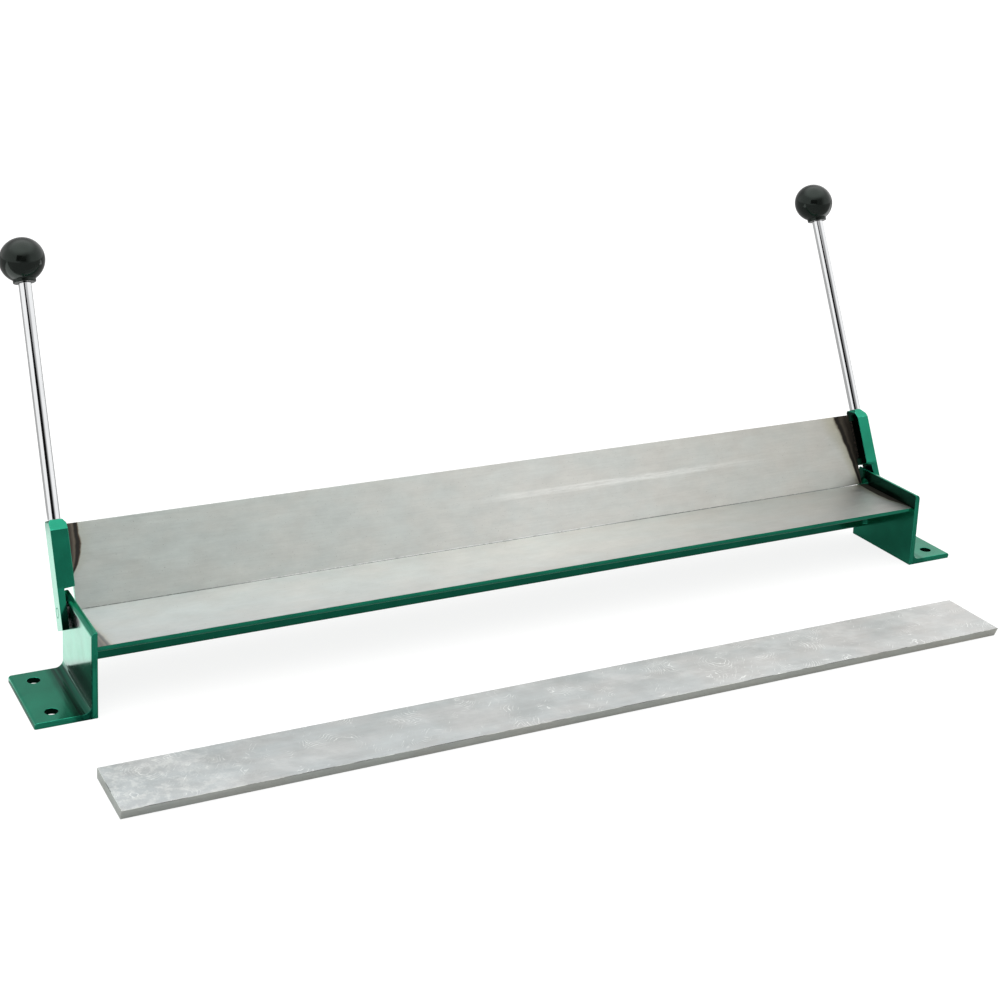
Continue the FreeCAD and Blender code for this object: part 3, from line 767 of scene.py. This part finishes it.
def make_bar_top(name, steel):
    """The clamp bar's top: sanded bright, with arcs and bunches of scratches."""
    net, shader, where = new_material(name)
    grain = net.grain(where, 0.02, 0.0006)
    tone = net.use("steel_tone", {"Colour": steel, "Place": where, "Specks": 0.25})
    lined = net.mix(0.08, tone["Colour"], net.mix(grain["Lines"], (0.42, 0.43, 0.42), (0.95, 0.96, 0.95)))
    blotch = net.noise(net.stretched(where, (38.0, 70.0, 70.0), (0, 0, 0.5)), 1.0, 4.0, 0.62, 21.0)
    lined = net.mix(net.span(blotch, 0.50, 0.66, 0.0, 0.17), lined, (0.80, 0.80, 0.79))
    lined = net.mix(net.span(blotch, 0.34, 0.46, 0.22, 0.0), lined, (0.42, 0.43, 0.42))
    end_wear = net.fade(net.parts(where)["X"], -0.38, -0.27)
    crust = net.span(net.noise(where, 150.0, 5.0, 0.75, 15.0), 0.46, 0.62)
    lined = net.mix(net.times(end_wear, crust, 0.36), lined, (0.88, 0.88, 0.85))
    arcs = net.use("sanding_arcs", {"Place": where, "Disc": 0.030, "Pitch": 0.0018, "Seed": 1.0})["Mask"]
    first = net.scratches(where, (0, 0, -0.9), 2.0, 0.010, 0.0006, 0.47)
    second = net.scratches(where, (0, 0, 0.5), 5.0, 0.012, 0.0005, 0.49)
    marks = net.larger(net.larger(first, second), arcs)
    shade = net.mix(net.times(marks, 0.6), lined, (0.93, 0.94, 0.92))
    relief = net.minus(grain["Height"], net.times(marks, 0.8))
    net.coat(shader, shade, 1.0, net.span(tone["Cloud"], 0.3, 0.7, 0.46, 0.58), relief, 0.3, 0.00008)


def make_bar_edge(name, steel):
    """The clamp bar's rolled edges and sawn ends, duller than its top."""
    net, shader, where = new_material(name)
    grain = net.grain(where, 0.03, 0.0006)
    tone = net.use("steel_tone", {"Colour": steel, "Place": where, "Specks": 0.3})
    lined = net.mix(0.2, tone["Colour"], net.mix(grain["Lines"], (0.45, 0.46, 0.44), (0.86, 0.87, 0.85)))
    nicks = net.span(net.noise(where, 45.0, 3.0, 0.6, 3.0), 0.46, 0.60)
    shade = net.mix(net.times(net.face_mark("edge"), nicks), lined, (0.09, 0.085, 0.08))
    rough = net.between(grain["Lines"], 0.42, 0.56)
    net.coat(shader, shade, 1.0, rough, grain["Height"], 0.3, 0.00008)


def make_turned(name, metal, rough_low, rough_high, pitch, painted=None):
    """Lathe-turned metal with rings along its axis; painted covers the outer ends with enamel."""
    net, shader, where = new_material(name)
    grain = net.grain(where, pitch, 0.004)
    shade = net.mix(0.3, metal, net.mix(grain["Lines"], (0.30, 0.28, 0.24), metal))
    if painted:
        paint, (outer, inner) = painted
        reach = net.size_of(net.parts(where)["X"])
        first = net.span(reach, inner, inner + 0.0001, 1, 0)
        last = net.span(reach, outer, outer + 0.0001, 0, 1)
        cover = net.larger(first, last)
        metallic = net.span(cover, 0.0, 1.0, 1.0, 0.86)
        rough = net.span(cover, 0.0, 1.0, rough_high, 0.16)
        shade = net.mix(cover, shade, paint)
    else:
        metallic = 1.0
        rough = net.span(net.noise(where, 130.0, 3.0, 0.6), 0.3, 0.7, rough_low, rough_high)
    net.coat(shader, shade, metallic, rough, grain["Height"], 0.3, 0.00004)


def make_chrome(name, plate):
    """Bright chrome plate over polished bar, with faint smears."""
    net, shader, where = new_material(name)
    smear = net.noise(net.stretched(where, (60.0, 60.0, 16.0)), 1.0, 3.0, 0.6)
    polish = net.noise(net.stretched(where, (1500.0, 1500.0, 40.0)), 1.0, 2.0, 0.5, 3.0)
    shade = net.mix(net.span(smear, 0.3, 0.7), tuple(0.93 * c for c in plate), plate)
    net.coat(shader, shade, 1.0, net.span(smear, 0.4, 0.72, 0.03, 0.085), polish, 0.06, 0.00003)


def make_plastic(name, black):
    """Polished black moulding with fine rub marks and a little dust."""
    net, shader, where = new_material(name)
    rubs = net.scratches(where, (0.5, 0.3, 0.8), 8.0, 0.006, 0.00018, 0.52)
    haze = net.noise(where, 120.0, 3.0, 0.6)
    dust = net.span(net.noise(where, 2200.0, 1.0, 0.4, 5.0), 0.74, 0.80)
    grey = net.mix(net.span(haze, 0.35, 0.75), black, tuple(1.9 * c for c in black))
    shade = net.mix(net.times(dust, 0.25), grey, (0.2, 0.2, 0.19))
    rough = net.plus(net.span(haze, 0.35, 0.75, 0.11, 0.17), net.times(rubs, 0.2))
    net.coat(shader, shade, 0.0, rough, net.noise(where, 260.0, 1.0), 0.05, 0.0001)
    # the green specular tint is a painted reflection colour
    net.fill(shader, {"IOR": 1.40, "Specular Tint": (0.84, 1.0, 0.91, 1)})


# ---------------------------------------------------------------- shapes

def angle_section(name, half, width, sizes, matrix, bare_edge):
    """A rolled angle: a flat face upwards with its skirt at Y = 0, then put in its place."""
    wall = sizes.wall
    piece = add_block(name, (-half, 0, -wall), (half, width, 0))
    edit(piece)
    slice_at((0, wall, 0), (0, 1, 0))
    pick("FACE", lambda f: f.normal.z < -FLAT and middle_of(f).y < wall)
    extrude(0, 0, wall - sizes.skirt)
    round_lines(sizes.root, 8, X, {Y: wall, Z: -wall})
    round_lines(sizes.toe, 6, X, {Y: wall, Z: -sizes.skirt}, {Y: width, Z: -wall})
    break_edges(sizes.steel_break)
    wear(piece, "green_enamel", name + "_steel")
    heel = 2 * sizes.steel_break
    give_material(1, lambda f: f.normal.z > 0.3 or (f.normal.z > 0.05 and middle_of(f).y < heel))
    if bare_edge:
        give_material(1, lambda f: f.normal.y > FLAT and middle_of(f).y > width - heel)
    return place(piece, matrix)


def holed(piece, cutters):
    """Cut round holes; each cutter is (radius, low, high, axis, middle)."""
    for radius, low, high, axis, middle in cutters:
        combine(piece, add_round("cutter", radius, low, high, 64, axis, middle))


def turn_for_side(piece, side):
    """Mirror a piece that was modelled on the right for use on the left."""
    select_only(piece)
    if side < 0:
        piece.scale = (-1, 1, 1)
        settle()
        edit(piece)
        select_all()
        bpy.ops.mesh.remove_doubles(threshold=1e-6)
        bpy.ops.mesh.normals_make_consistent(inside=False)
        select_only(piece)


def make_bracket(hand, side, sizes):
    """An end bracket: upright plate with a foot turned outwards."""
    wall = sizes.wall
    inner, plate, outer = BRACKET_LOW.x, BRACKET_LOW.x + wall, BRACKET_HIGH.x
    half, top = BRACKET_HIGH.y, BRACKET_HIGH.z
    piece = add_block(f"{hand}_bracket_piece", (inner, -half, 0), (plate, half, top))
    edit(piece)
    slice_at((0, 0, wall), (0, 0, 1))
    pick("FACE", lambda f: f.normal.x > FLAT and middle_of(f).z < wall)
    extrude(outer - inner - wall, 0, 0)
    round_lines(sizes.root, 8, Y, {X: plate, Z: wall})
    round_lines(sizes.bracket_toe, 8, Y, {X: plate, Z: top})
    round_lines(sizes.toe, 8, Y, {X: outer, Z: wall})
    round_lines(sizes.plate_corner, 4, X, {Y: -half, Z: top}, {Y: half, Z: top})
    round_lines(sizes.foot_corner, 4, Z, {X: outer, Y: -half}, {X: outer, Y: half})
    bolt = BOLTS["hole_r_mm"] * MM
    across, apart = BOLTS["spacing_x_mm"] * MM / 2, BOLTS["spacing_y_mm"] * MM / 2
    over = 10 * MM  # how far a cutter stands out
    holes = [(bolt, -over, 2 * over, Z, (across, end * apart)) for end in (-1, 1)]
    pin = sizes.pin / 2 + sizes.pin_room
    holed(piece, holes + [(pin, inner - over, plate + over, X, (HINGE.y, HINGE.z))])
    edit(piece)
    break_edges(sizes.edge_break, 3)

    def in_hole(face):
        middle = middle_of(face)
        centre = Vector((across, math.copysign(apart, middle.y), 0))
        return abs(face.normal.z) < 0.1 and (middle - centre).xy.length < bolt + 0.1 * MM

    # painted shade on the plate's inner face, its outward faces and the walls of the bolt holes
    mark_painted_shade([(PLATE_INNER, lambda f: f.normal.x < -SQUARE), (SHADED_SIDE, lambda f: f.normal.x > SQUARE),
                (HOLE_WALL, in_hole)])
    wear(piece, "green_enamel")
    turn_for_side(piece, side)
    finish_piece(piece, f"{hand}_bracket", "frame")


def make_arm(hand, side, sizes):
    """An arm: a flat bar whose lower inner half is cut away, with a ground crown."""
    inner, outer = BED_HIGH.x - sizes.arm_overlap - ARM_EXTRA[side], ARM_HIGH.x
    tongue = BED_HIGH.x + sizes.wall + sizes.tongue_gap
    front, rear, top, notch = -sizes.arm_front, sizes.arm_rear, sizes.arm_top, sizes.arm_notch
    piece = add_block(f"{hand}_arm_piece", (inner, front, notch), (outer, rear, top))
    edit(piece)
    slice_at((tongue, 0, 0), (1, 0, 0))
    pick("FACE", lambda f: f.normal.z < -FLAT and middle_of(f).x > tongue)
    extrude(0, 0, -notch - sizes.tongue_drop)
    for corner, normal in (  # the four slopes of the crown: front, rear, outer and inner
        ((0, front, top - sizes.crown_drop), (0, -sizes.crown_drop, sizes.crown_depth)),
        ((0, rear, top - 2 * MM), (0, 2, 1.2)),
        ((outer, 0, top - CROWN_FALL[side]), (1, -0.15, 0.9)),
        ((inner, 0, top - 1.2 * MM), (-1, -0.3, 0.9)),
    ):
        slice_at(corner, normal, clear=True)
    round_lines(NOTCH_ROUND[side], 2, X, {Y: front, Z: notch})
    select_all()
    bpy.ops.mesh.dissolve_limited(angle_limit=math.radians(1))
    holed(piece, [(sizes.pin / 2, tongue - 10 * MM, outer + 10 * MM, X, (0, 0))])
    edit(piece)
    break_edges(sizes.edge_break, 3, limit=25)
    # painted shade on the arm's inward faces and on its front
    mark_painted_shade([(SHADED_SIDE, lambda f: f.normal.x < -SQUARE), (ARM_FRONT, lambda f: f.normal.y < -SQUARE)])
    wear(piece, "green_enamel", "weld_enamel")
    give_material(1, lambda f: middle_of(f).z > top - sizes.crown_drop)
    turn_for_side(piece, side)
    place(piece, leaning(sizes))
    finish_piece(piece, f"{hand}_arm", "leaf_group")


def bead_run(name, leg, run, sizes, seed):
    """A fillet weld along Z from 0 to run, in the corner of +X and +Y, built up from ripples."""
    back = 0.15  # how far the middle of the bead's circle lies outside the corner, in legs
    reach = math.hypot(1 + back, back)
    count = max(3, round(run / sizes.ripple))
    step = run / count
    select_none()
    bpy.ops.mesh.primitive_circle_add(
        vertices=28, radius=reach, fill_type="NOTHING", location=(-back * leg, -back * leg, 0)
    )
    piece = bpy.context.object
    piece.scale = (leg, leg, 1)
    settle(name)
    edit(piece)
    pick("VERT", lambda v: v.co.x > 0.45 * leg and v.co.y > 0.45 * leg)
    bpy.ops.transform.translate(value=(0, 0, 0.55 * step), use_proportional_edit=True, proportional_size=0.6 * leg)
    rng = random.Random(seed)
    for i in range(2 * count):
        bpy.ops.mesh.select_all(action="DESELECT")
        mesh = bmesh.from_edit_mesh(piece.data)
        rim = [(e, min(v.co.z for v in e.verts)) for e in mesh.edges if e.is_boundary or e.is_wire]
        last = max(low for _, low in rim)
        bpy.ops.mesh.select_mode(type="EDGE")
        for edge, low in rim:
            if low > last - 0.75 * step - 1e-6 and middle_of(edge).z > (i - 0.2) * step / 2 - 1e-6:
                edge.select_set(True)
        bmesh.update_edit_mesh(piece.data)
        extrude(0, 0, step / 2)
        swell = (1.07 if i % 2 == 0 else 0.93) * rng.uniform(0.985, 1.015)
        bpy.ops.transform.resize(value=(swell, swell, 1), center_override=ORIGIN)
    pick("EDGE", lambda e: e.is_boundary)
    bpy.ops.mesh.edge_face_add()
    select_all()
    bpy.ops.mesh.normals_make_consistent(inside=False)
    sink = 0.2 * MM  # how far the bead is sunk into the plates
    for corner, normal in (
        ((-sink, 0, 0), (-1, 0, 0)), ((0, -sink, 0), (0, -1, 0)), ((0, 0, 0), (0, 0, -1)), ((0, 0, run), (0, 0, 1)),
    ):
        slice_at(corner, normal, clear=True)
    return piece


def corner_matrix(corner, along_a, along_b):
    """The matrix that puts a bead's corner and its two legs in place."""
    a, b = Vector(along_a), Vector(along_b)
    return Matrix.Translation(corner) @ Matrix((a, b, a.cross(b))).transposed().to_4x4()


# ---------------------------------------------------------------- operators

class BENDER_OT_finishes(bpy.types.Operator):
    """Build the finishes that the pieces wear"""
    bl_idname = "bender.finishes"
    bl_label = "Finishes"

    def execute(self, context):
        finish, sizes = context.scene.bender_finish, context.scene.bender_sizes
        for build in (build_grain_group, build_scratch_group, build_swirl_group, build_mottle_group,
                      build_tint_group, build_enamel_group):
            build()
        make_enamel("green_enamel", finish.enamel, 0.05, 0.5)
        # weld_enamel: darker and lumpier than the enamel, with more lightened edges; on the arms' crowns the darkening
        # is painted shade
        make_enamel("weld_enamel", tuple(0.85 * c for c in finish.enamel), 1.0, 0.9)
        make_burnt("burnt_steel")
        hinge_line = (0, HINGE.y, HINGE.z)
        make_ground_steel("bed_steel", finish.steel, hinge_line, math.pi / 2, BED_TINTS, BED_PAINTED_SHADE)
        make_ground_steel("leaf_steel", finish.steel, HINGE, -sizes.lean, LEAF_TINTS, LEAF_PAINTED_SHADE, LEAF_RUB)
        make_bar_top("bar_top_steel", finish.bar)
        make_bar_edge("bar_edge_steel", finish.bar_edge)
        make_chrome("bright_chrome", finish.chrome)
        make_plastic("black_moulding", finish.plastic)
        make_turned("turned_brass", finish.brass, 0.22, 0.34, 0.0006)
        ends = (ARM_HIGH.x - 0.9 * MM, BRACKET_LOW.x + 0.8 * MM)
        make_turned("turned_steel", finish.pin, 0.28, 0.42, 0.0006, (finish.enamel, ends))
        return {"FINISHED"}


class BENDER_OT_bed(bpy.types.Operator):
    """Model the bed: an angle with a bare flat top and its skirt at the hinge"""
    bl_idname = "bender.bed"
    bl_label = "Bed"

    def execute(self, context):
        sizes = context.scene.bender_sizes
        matrix = Matrix.Translation((0, BED_HIGH.y, BED_HIGH.z)) @ Matrix.Rotation(math.pi, 4, "Z")
        piece = angle_section("bed", BED_HIGH.x, BED_HIGH.y - BED_LOW.y, sizes, matrix, False)
        piece.name = "bed_piece"
        finish_piece(piece, "bed", "frame")
        return {"FINISHED"}


class BENDER_OT_leaf(bpy.types.Operator):
    """Model the bending leaf, leaning back from the hinge line"""
    bl_idname = "bender.leaf"
    bl_label = "Leaf"

    def execute(self, context):
        sizes = context.scene.bender_sizes
        matrix = leaning(sizes) @ Matrix.Translation((0, 0, sizes.hinge_gap)) @ Matrix.Rotation(math.pi / 2, 4, "X")
        piece = angle_section("leaf", LEAF_HIGH.x, sizes.leaf_width - sizes.hinge_gap, sizes, matrix, True)
        piece.name = "leaf_piece"
        finish_piece(piece, "leaf", "leaf_group")
        return {"FINISHED"}


class BENDER_OT_brackets(bpy.types.Operator):
    """Model the two end brackets with their bolt holes"""
    bl_idname = "bender.brackets"
    bl_label = "Brackets"

    def execute(self, context):
        for hand, side in SIDES.items():
            make_bracket(hand, side, context.scene.bender_sizes)
        return {"FINISHED"}


class BENDER_OT_arms(bpy.types.Operator):
    """Model the two arms with their ground crowns"""
    bl_idname = "bender.arms"
    bl_label = "Arms"

    def execute(self, context):
        for hand, side in SIDES.items():
            make_arm(hand, side, context.scene.bender_sizes)
        return {"FINISHED"}


class BENDER_OT_welds(bpy.types.Operator):
    """Model the fillet welds with their ripples"""
    bl_idname = "bender.welds"
    bl_label = "Welds"

    def execute(self, context):
        sizes = context.scene.bender_sizes
        skirt_front, under = BED_HIGH.y - sizes.wall, BED_HIGH.z - sizes.wall
        front, low, high = BED_LOW.y + 8 * MM, BED_LOW.z + 4 * MM, under - sizes.root
        for hand, side in SIDES.items():
            end, inwards = side * BED_HIGH.x, (-side, 0, 0)
            for part, corner, across, run, seed in (
                ("bed", (end, front, under), (0, 0, -1), skirt_front - sizes.root - front, 11),
                ("skirt", (end, skirt_front, high), (0, -1, 0), high - low, 21),
            ):
                bead = bead_run(f"{hand}_{part}_bead", sizes.bead, run, sizes, seed + side)
                legs = (across, inwards) if side > 0 else (inwards, across)
                wear(bead, "weld_enamel")
                self.complete(bead, corner_matrix(corner, *legs), f"{hand}_{part}_weld", "frame")
            self.leaf_weld(hand, side, sizes)
        return {"FINISHED"}

    def leaf_weld(self, hand, side, sizes):
        """The weld that fills the gap at the leaf's end and laps onto its back."""
        arm, leaf = BED_HIGH.x - sizes.arm_overlap, LEAF_HIGH.x
        low, high, front, inset = 24 * MM, 60 * MM, 0.6 * MM, 0.2 * MM
        bead = bead_run("bead", sizes.bead, high - low - 2 * inset, sizes, 34 + side)
        edit(bead)
        select_all()
        # cut into triangles, so that the join repeats exactly
        bpy.ops.mesh.quads_convert_to_tris(quad_method="FIXED", ngon_method="BEAUTY")
        wide = Matrix.Diagonal((1, (arm - leaf + sizes.bead) / sizes.bead, 1, 1))
        place(bead, corner_matrix((arm, sizes.wall, low + inset), (0, 1, 0), (-1, 0, 0)) @ wide)
        fill = add_block("fill", (leaf - 0.00007, front, low), (arm + 0.00013, sizes.wall + 0.0012, high))
        edit(fill)
        round_lines(1.2 * MM, 4, X, {Y: front})
        combine(fill, bead, "UNION")
        fill.name = fill.data.name = f"{hand}_leaf_bead"
        turn_for_side(fill, side)
        wear(fill, "weld_enamel", "burnt_steel")
        edit(fill)
        give_material(1, lambda f: middle_of(f).y < sizes.wall)
        self.complete(fill, leaning(sizes), f"{hand}_leaf_weld", "leaf_group")

    def complete(self, bead, matrix, node, body):
        """Put a bead in place and finish it."""
        place(bead, matrix)
        finish_piece(bead, node, body, 60)


class BENDER_OT_handles(bpy.types.Operator):
    """Model the handle rods"""
    bl_idname = "bender.handles"
    bl_label = "Handle rods"

    def execute(self, context):
        sizes = context.scene.bender_sizes
        for hand, side in SIDES.items():
            face = sizes.knob_reach - sizes.collar_reach
            rod = add_round(f"{hand}_rod_piece", sizes.rod / 2, sizes.arm_top, face)
            edit(rod)
            pick("FACE", lambda f: abs(f.normal.z) > FLAT)
            bpy.ops.mesh.inset(thickness=(sizes.rod - sizes.thread) / 2, use_individual=True)
            for way, reach in ((1, 14 * MM), (-1, 16 * MM)):
                pick("FACE", lambda f: f.normal.z * way > FLAT and f.calc_area() > 4e-5)
                extrude(0, 0, way * reach)
            break_edges(0.35 * MM)
            wear(rod, "bright_chrome")
            place_on_arm(rod, side, sizes)
            finish_piece(rod, f"{hand}_rod", "leaf_group")
        return {"FINISHED"}


class BENDER_OT_knobs(bpy.types.Operator):
    """Model the ball knobs with their collars and threaded inserts"""
    bl_idname = "bender.knobs"
    bl_label = "Ball knobs"

    def execute(self, context):
        for hand, side in SIDES.items():
            knob, insert = self.make_knob(hand, context.scene.bender_sizes)
            for piece, finish, node in ((knob, "black_moulding", "knob"), (insert, "turned_brass", "knob_bush")):
                wear(piece, finish)
                place_on_arm(piece, side, context.scene.bender_sizes)
                finish_piece(piece, f"{hand}_{node}", "leaf_group", 40)
        return {"FINISHED"}

    def make_knob(self, hand, sizes):
        """A ball with its collar, hollowed for the insert, and the hexagon insert."""
        ball, collar = sizes.knob / 2 - 0.01 * MM, sizes.collar / 2
        face = sizes.knob_reach - sizes.collar_reach
        neck = sizes.knob_reach - math.sqrt(ball ** 2 - collar ** 2)
        select_none()
        bpy.ops.mesh.primitive_uv_sphere_add(segments=96, ring_count=64, radius=ball, location=(0, 0, sizes.knob_reach))
        knob = settle(f"{hand}_knob_piece")
        edit(knob)
        slice_at((0, 0, neck), (0, 0, -1), clear=True)
        pick("FACE", lambda f: f.normal.z < -FLAT and near(middle_of(f).z, neck, 1e-4))
        extrude(0, 0, face - neck)
        for height, radius in ((neck, 0.7 * MM), (face, 0.8 * MM)):
            pick("EDGE", lambda e: near(middle_of(e).z, height, 1e-5))
            round_off(radius, 4)
        peak, bore = sizes.bush_flats / math.sqrt(3), sizes.thread / 2
        lip, bottom = face + 1.2 * MM, face + 18 * MM
        combine(knob, add_round("cutter", peak, lip, bottom, 6))
        combine(knob, add_round("cutter", bore + 0.1 * MM, face - 1 * MM, lip + 0.3 * MM, 48))
        insert = add_round(f"{hand}_knob_insert", peak, lip + 0.05 * MM, bottom - 0.1 * MM, 6)
        holed(insert, [(bore, face, face + 16 * MM, Z, (0, 0))])
        edit(insert)
        break_edges(0.3 * MM)
        return knob, insert


class BENDER_OT_clamp_bar(bpy.types.Operator):
    """Model the loose clamp bar with its bevelled front edge"""
    bl_idname = "bender.clamp_bar"
    bl_label = "Clamp bar"

    def execute(self, context):
        sizes = context.scene.bender_sizes
        low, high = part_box("clamp_bar")
        middle, thick = (low + high) / 2, high.z
        half, half_width = BED_HIGH.x - 3.5 * MM, sizes.bar_width / 2
        bar = add_block("clamp_bar_piece", (-half, -half_width, 0), (half, half_width, thick))
        edit(bar)
        slice_at((0, -half_width, thick), (0, -thick, -sizes.bar_bevel), clear=True)
        break_edges(sizes.steel_break)
        wear(bar, "bar_edge_steel", "bar_top_steel")
        give_material(1, lambda f: abs(f.normal.z) > 0.95)
        turn = math.radians(-0.5)
        place(bar, Matrix.Translation((middle.x, middle.y, 0)) @ Matrix.Rotation(turn, 4, "Z"))
        finish_piece(bar, "clamp_bar", "loose_bar")
        return {"FINISHED"}


class BENDER_OT_hardware(bpy.types.Operator):
    """Finish the hinge pins and their spacers"""
    bl_idname = "bender.hardware"
    bl_label = "Pins and spacers"

    def execute(self, context):
        for hand in SIDES:
            for kind in ("hinge_pin", "spacer"):
                wear(frame["nodes"][f"{hand}_{kind}"], "turned_steel")
        return {"FINISHED"}


class BENDER_OT_stage(bpy.types.Operator):
    """Set up the pale floor, the soft light and the camera"""
    bl_idname = "bender.stage"
    bl_label = "Stage"

    def execute(self, context):
        stage = context.scene.bender_stage
        self.make_floor(stage)
        self.make_card()
        self.make_world(context, stage)
        self.make_camera(context, stage)
        context.scene.view_settings.view_transform = "Standard"
        return {"FINISHED"}

    def make_floor(self, stage):
        """A plain pale floor, which glows so that shadows stay faint."""
        select_none()
        bpy.ops.mesh.primitive_plane_add(size=40)
        floor = settle("studio_floor")
        net, shader, where = new_material("studio_floor")
        x, y, _ = net.parts(where)
        beside = net.larger(net.fade(x, -0.395, -0.375), net.span(x, 0.49, 0.51))
        level = net.times(net.span(y, 0.040, 0.048), net.fade(y, 0.28, 0.40))
        given_off = net.span(net.times(beside, level), 0.0, 1.0, stage.glow_low, stage.glow_ends)
        seen = net.add("LightPath").outputs["Is Camera Ray"]
        cloud = net.noise(where, 1.2, 2.0)
        net.fill(shader, {
            "Base Color": net.mix(cloud, tuple(0.985 * c for c in stage.floor), tuple(stage.floor)),
            "Roughness": 0.9, "Specular IOR Level": 0.0, "Emission Strength": 1.0,
            "Emission Color": net.grey(net.span(seen, 0.0, 1.0, given_off, stage.glow_seen)),
        })
        wear(floor, "studio_floor")

    def make_card(self):
        """A dark card on the camera's side, which only the gloss shows."""
        select_none()
        bpy.ops.mesh.primitive_plane_add(size=1, location=(-0.80, -1.45, 0.98))
        card = bpy.context.object
        card.scale = (1.55, 1.00, 1)
        card.rotation_euler = (math.radians(90), 0, math.radians(-28.8))
        settle("dark_card")
        net, shader, _ = new_material("dark_card")
        net.fill(shader, {"Base Color": (0.01, 0.01, 0.01), "Roughness": 1.0, "Specular IOR Level": 0.0})
        wear(card, "dark_card")
        card.visible_camera = card.visible_shadow = card.visible_diffuse = False

    def make_world(self, context, stage):
        """Soft light from above over a studio that is bright at the sides, dimmer in front and dim behind."""
        world = bpy.data.worlds.new("studio")
        world.use_nodes = True
        context.scene.world = world
        net = Net(world.node_tree)
        x, y, z = net.parts(net.add("TexCoord").outputs["Generated"])
        aside = net.size_of(x)
        front = net.span(aside, 0.15, 0.65, stage.wall_front, stage.wall_side)
        back = net.span(aside, 0.32, 0.70, stage.wall_back, stage.wall_side)
        wall = net.span(y, -0.10, 0.50, front, back)
        start = net.span(y, -0.40, 0.60, 0.50, 0.54, "LINEAR")
        strength = net.span(z, start, 0.88, wall, stage.sky)
        net.fill(net.tree.nodes["Background"].inputs, {"Color": (1, 1, 1), "Strength": strength})

    def make_camera(self, context, stage):
        """The photo's viewpoint."""
        yaw, pitch, roll = (math.radians(a) for a in (CAMERA_YAW, CAMERA_PITCH, CAMERA_ROLL))
        look = Vector((math.sin(yaw) * math.cos(pitch), math.cos(yaw) * math.cos(pitch), math.sin(pitch)))
        level = Vector((math.cos(yaw), -math.sin(yaw), 0))
        upright = level.cross(look)
        right = level * math.cos(roll) + upright * math.sin(roll)
        up = upright * math.cos(roll) - level * math.sin(roll)
        data = bpy.data.cameras.new("photo_camera")
        data.lens, data.sensor_width = stage.lens, 36
        data.shift_x, data.shift_y = CAMERA_SHIFT
        camera = bpy.data.objects.new("photo_camera", data)
        camera.matrix_world = Matrix.Translation(CAMERA_PLACE) @ Matrix((right, up, -look)).transposed().to_4x4()
        context.scene.collection.objects.link(camera)
        context.scene.camera = camera


class BENDER_PT_panel(bpy.types.Panel):
    """The bender's pieces and the values they are made from"""
    bl_idname = "BENDER_PT_panel"
    bl_label = "Bench bender"
    bl_space_type = "VIEW_3D"
    bl_region_type = "UI"
    bl_category = "Bender"

    def draw(self, context):
        for step in STEPS:
            self.layout.operator(step.bl_idname)
        for group in GROUPS:
            values = getattr(context.scene, group)
            box = self.layout.box()
            for key in values.__annotations__:
                box.prop(values, key)


STEPS = (
    BENDER_OT_finishes, BENDER_OT_bed, BENDER_OT_leaf, BENDER_OT_brackets, BENDER_OT_arms, BENDER_OT_welds,
    BENDER_OT_handles, BENDER_OT_knobs, BENDER_OT_clamp_bar, BENDER_OT_hardware, BENDER_OT_stage,
)
GROUPS = {"bender_sizes": BENDER_PG_sizes, "bender_finish": BENDER_PG_finish, "bender_stage": BENDER_PG_stage}


def register():
    for group in GROUPS.values():
        bpy.utils.register_class(group)
    for name, group in GROUPS.items():
        setattr(bpy.types.Scene, name, PointerProperty(type=group))
    for step in (*STEPS, BENDER_PT_panel):
        bpy.utils.register_class(step)


def unregister():
    for step in (BENDER_PT_panel, *reversed(STEPS)):
        bpy.utils.unregister_class(step)
    for name in GROUPS:
        delattr(bpy.types.Scene, name)
    for group in reversed(GROUPS.values()):
        bpy.utils.unregister_class(group)


def main():
    register()
    for step in STEPS:
        group, name = step.bl_idname.split(".")
        getattr(getattr(bpy.ops, group), name)()


if __name__ == "__main__":
    main()
